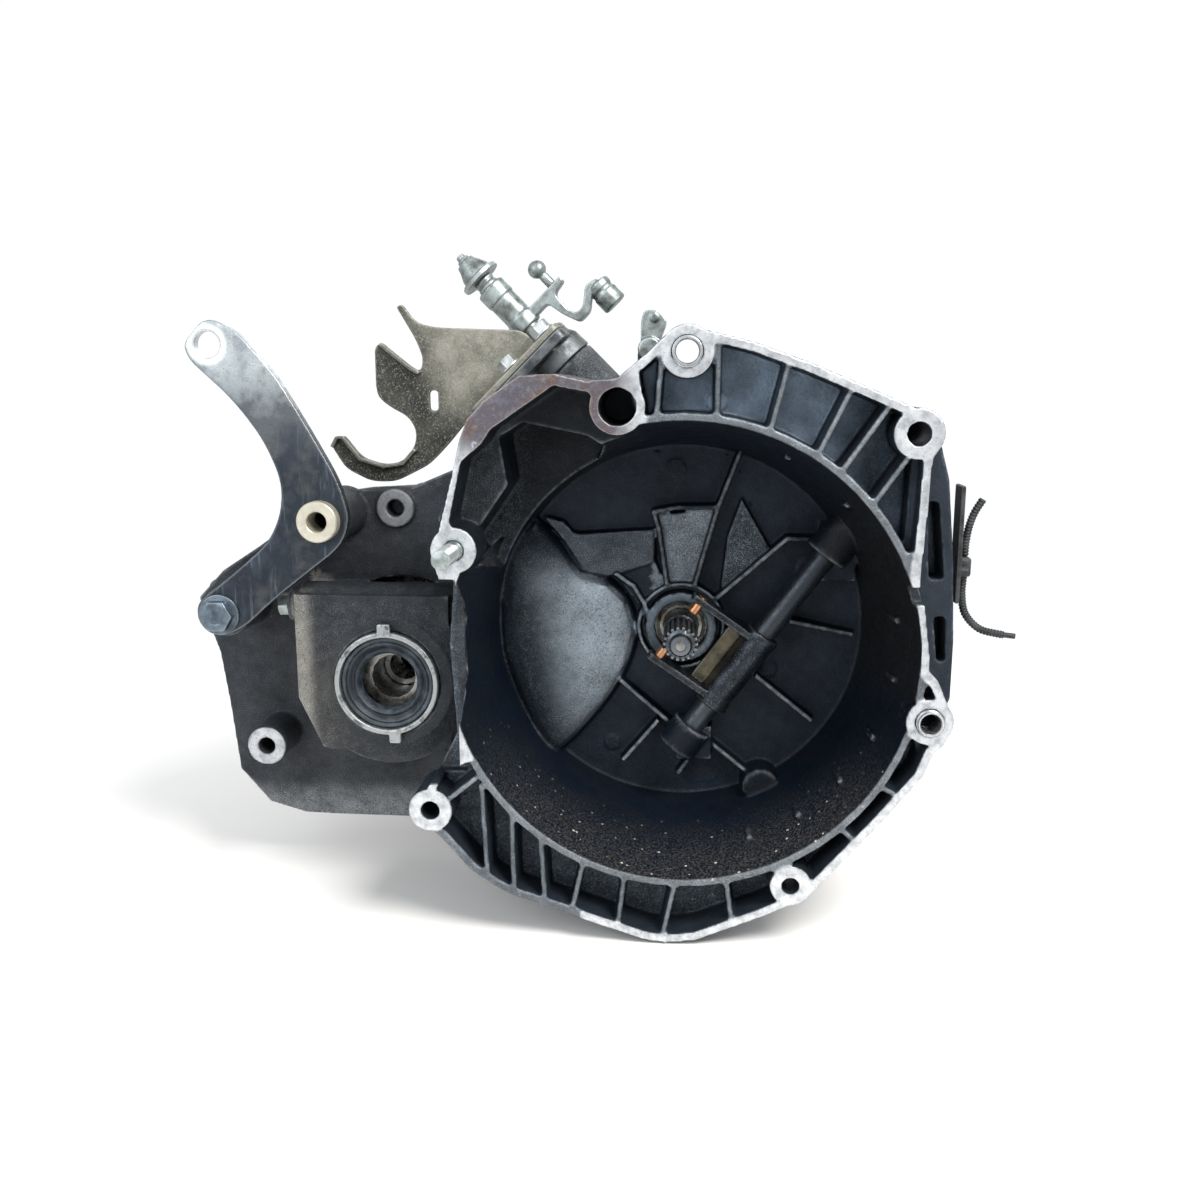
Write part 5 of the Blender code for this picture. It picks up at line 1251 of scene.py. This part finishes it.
def release():
    """The clutch release shaft, its fork with two copper pads, and the lever outside."""
    rod = [(7, -65), (8, -64), (8, 148), (7, 150)]
    obj = on_release(rod)
    piece(obj, "release_rod", "release", "dark_steel", ["release_shaft"])
    tube = [
        (8.35, -31), (11.6, -31), (12.5, -30), (12.5, -26), (11.8, -25), (11.8, 25), (12.5, 26), (12.5, 30),
        (11.6, 31), (8.35, 31),
    ]
    blade = [(-8, -12), (14, -12), (RELEASE_REACH + 7, 3), (RELEASE_REACH + 7, 16), (20, 12), (-8, 8)]
    parts = [on_release(tube, True)]
    for side in (-1.0, 1.0):
        shape = sheet(rounded(blade, 4.0), along_release(25.0 * side), RELEASE_ACROSS, (0, -1, 0), 5.0)
        pin_place = along_release(19.0 * side, RELEASE_REACH, 10)
        pin = turned([(3.8, 0), (3.8, 12)], pin_place, RELEASE_ALONG * side)
        bore = on_release([(8.35, -40), (8.35, 40)])
        parts.append(cut(shape, [pin, bore]))
    parts.append(sheet(rectangle(8, 22, -6, -1), along_release(0), RELEASE_ACROSS, (0, -1, 0), 50.0))
    obj = fused(parts, "release_fork_body", 0.75, 3, 70000)
    place, _ = points_of(obj)
    away = place - np.array(RELEASE_POINT)
    across = away @ np.array(RELEASE_ACROSS)
    along = away @ np.array(RELEASE_ALONG)
    store(obj, "web", step(across, 8.5, 11) * step(-np.abs(along), -22.5, -20))
    piece(obj, "release_fork_body", "release", "fork", ["release_fork"], smooth=0, grime_and_shade=0.5)
    for name, side in (("fork_pad_upper", 1.0), ("fork_pad_lower", -1.0)):
        pad = [(2.6, 0), (3.5, 0.9), (3.5, 12.2), (2.8, 13)]
        obj = turned(pad, along_release(15 * side, RELEASE_REACH, 10), RELEASE_ALONG * side)
        piece(obj, name + "_pin", "release", "copper", [name])
    boss = [(8.3, 134), (13, 134), (14, 135), (14, 147), (13, 148), (8.3, 148)]
    outline = rounded([(6, -70), (-6, -70), (-9, 0), (9, 0)], 3.0)
    shape = sheet(outline, along_release(141), RELEASE_ACROSS, (0, -1, 0), 8.0)
    cutters = [on_release([(8.3, 127), (8.3, 157)])]
    cutters.append(turned([(3.5, 132), (3.5, 150)], along_release(0, 0, -63), RELEASE_ALONG))
    parts = [on_release(boss, True), cut(shape, cutters)]
    obj = fused(parts, "release_lever_arm", 0.8, 2, 40000)
    piece(obj, "release_lever_arm", "release", "zinc", ["release_lever"], smooth=0)


def fork_shade():
    """Dark oiled steel with light granular patches, and a khaki tint on the plate between the blades."""
    shade = Shade("fork_steel", Metallic=0.75)
    patch = shade.noise(85.0, 6.0, 0.64)
    fine = shade.noise(1100.0, 3.0)
    dark = shade.blend(shade.range(patch, 0.42, 0.62), (0.030, 0.036, 0.046), (0.010, 0.011, 0.013))
    dark = shade.blend(shade.range(fine, 0.56, 0.68, 0.0, 0.5), dark, (0.22, 0.25, 0.27))
    khaki = shade.blend(shade.range(patch, 0.40, 0.62), (0.13, 0.115, 0.075), (0.055, 0.052, 0.04))
    base = shade.blend(shade.attribute("web"), dark, khaki)
    base = shade.blend(shade.calc("MULTIPLY", shade.attribute("wear"), 0.75), base, (0.38, 0.41, 0.43))
    # Corners darken: grime, together with painted shade.
    base = shade.blend(shade.attribute("grime_and_shade"), base, (0.006, 0.007, 0.008))
    shade.link("Base Color", base)
    shade.link("Roughness", shade.range(patch, 0.3, 0.7, 0.25, 0.5))
    shade.bump(fine, 0.0001)
    return shade.material


def clip():
    """The clip on the flange's edge that holds the conduit."""
    strip = plate(rounded(rectangle(166.4, 169.4, 34, 106), 1.2), 18.0, 34.0)
    grip = plate(rounded(rectangle(168, 176, 50, 62), 2.0), 22.0, 34.0)
    teeth = [plate(rounded(rectangle(169, 174.5, z, z + 2.2), 0.8), 21.0, 34.0) for z in (52, 58)]
    obj = fused([strip, grip, *teeth], "conduit_clip_strip", 0.6, 2, 30000)
    piece(obj, "conduit_clip_strip", "housing", "conduit", ["conduit_clip"], smooth=0)


# Metals, as (name, colour, stain, bright, roughness, other settings).
METALS = {
    "turret": ("turret_casting", (0.20, 0.215, 0.22), (0.07, 0.075, 0.08), (0.5, 0.53, 0.54), (0.4, 0.65),
               {"relief": 0.0002}),
    "rim": ("chipped_rim", (0.42, 0.44, 0.44), (0.10, 0.11, 0.12), (0.85, 0.86, 0.84), (0.3, 0.55),
            {"stains": (0.50, 0.66), "scale": 160.0, "grain": 1200.0, "relief": 0.00015}),
    "bright": ("bright_dowel", (0.62, 0.64, 0.65), (0.25, 0.26, 0.27), (0.88, 0.89, 0.9), (0.2, 0.4), {}),
    "bright_zinc": ("white_zinc", (0.62, 0.65, 0.65), (0.33, 0.35, 0.35), (0.88, 0.9, 0.9), (0.3, 0.5), {}),
    "blue_zinc": ("blue_zinc", (0.19, 0.24, 0.29), (0.08, 0.10, 0.12), (0.66, 0.7, 0.72), (0.3, 0.5), {}),
    "cream": ("cream_plating", (0.62, 0.58, 0.46), (0.42, 0.38, 0.29), (0.86, 0.84, 0.76), (0.35, 0.6),
              {"metallic": 0.55}),
    "copper": ("pad_copper", (0.62, 0.27, 0.12), (0.34, 0.14, 0.07), (0.88, 0.52, 0.32), (0.25, 0.45), {}),
    "spline": ("spline_steel", (0.10, 0.115, 0.13), (0.03, 0.034, 0.04), (0.62, 0.66, 0.68), (0.2, 0.42),
               {"relief": 0.00004}),
}


def make_materials():
    MATERIALS["bell"] = casting_shade("bell_casting", 0.0005)
    MATERIALS["case"] = casting_shade("case_casting", 0.0004)
    MATERIALS["steel"] = oily_steel()
    MATERIALS["zinc"] = zinc()
    MATERIALS["dark_steel"] = dark_steel()
    MATERIALS["arm"] = arm_shade()
    MATERIALS["bracket"] = bracket_shade()
    MATERIALS["fork"] = fork_shade()
    for key, (name, colour, stain, bright, rough, more) in METALS.items():
        MATERIALS[key] = worn_metal(name, colour, stain, bright, rough, **more)
    MATERIALS["seal"] = plastic("seal_rubber", (0.022, 0.027, 0.034), (0.10, 0.125, 0.15), (0.35, 0.6))
    MATERIALS["conduit"] = plastic("conduit_plastic", (0.014, 0.015, 0.016), (0.075, 0.08, 0.085))


HOUSED = [
    "input_bearing_front", "input_bearing_rear", "output_bearing_front", "output_bearing_rear",
    "differential_bearing_left", "differential_bearing_right", "input_shaft", "input_gear_3", "input_gear_4",
    "input_gear_5", "output_shaft", "driven_gear_1", "driven_gear_2", "driven_gear_3", "driven_gear_4",
    "driven_gear_5", "sleeve_12", "shift_fork_12", "sleeve_34", "shift_fork_34", "sleeve_5", "shift_fork_5",
    "reverse_idler", "ring_gear", "differential_case", "differential_pin", "side_gear_left",
    "side_gear_right", "planet_gear_upper", "planet_gear_lower",
]


def carry_over():
    """The parts inside the casing keep their CAD shapes, in oiled steel."""
    for node in HOUSED:
        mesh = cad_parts[node].data
        mesh.materials.clear()
        mesh.materials.append(MATERIALS["steel"])


add_camera()
make_materials()
for conduit_name in CONDUIT_ROUTES:
    conduit(conduit_name)
add_world()
add_floor()
add_lamp("key", (0.75, -0.75, 1.25), (-0.05, 0.05, 0), 0.7, 30.0, (1.0, 0.985, 0.96))
add_lamp("rear", (-0.2, 1.6, 1.0), (-0.08, 0.2, 0), 1.4, 10.0)
add_lamp("fill", (-0.9, -1.1, 0.7), (-0.1, 0.05, 0), 1.2, 9.0, (0.93, 0.96, 1.0))
bell()
case()
cover()
arm()
differential_front()
shaft_nose()
sleeves_and_stud()
bracket()
selector()
relay()
release()
clip()
carry_over()

boxes = {"cad": CAD_BOX, "visual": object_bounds()}
{name: [list(corner) for corner in box] for name, box in boxes.items()}
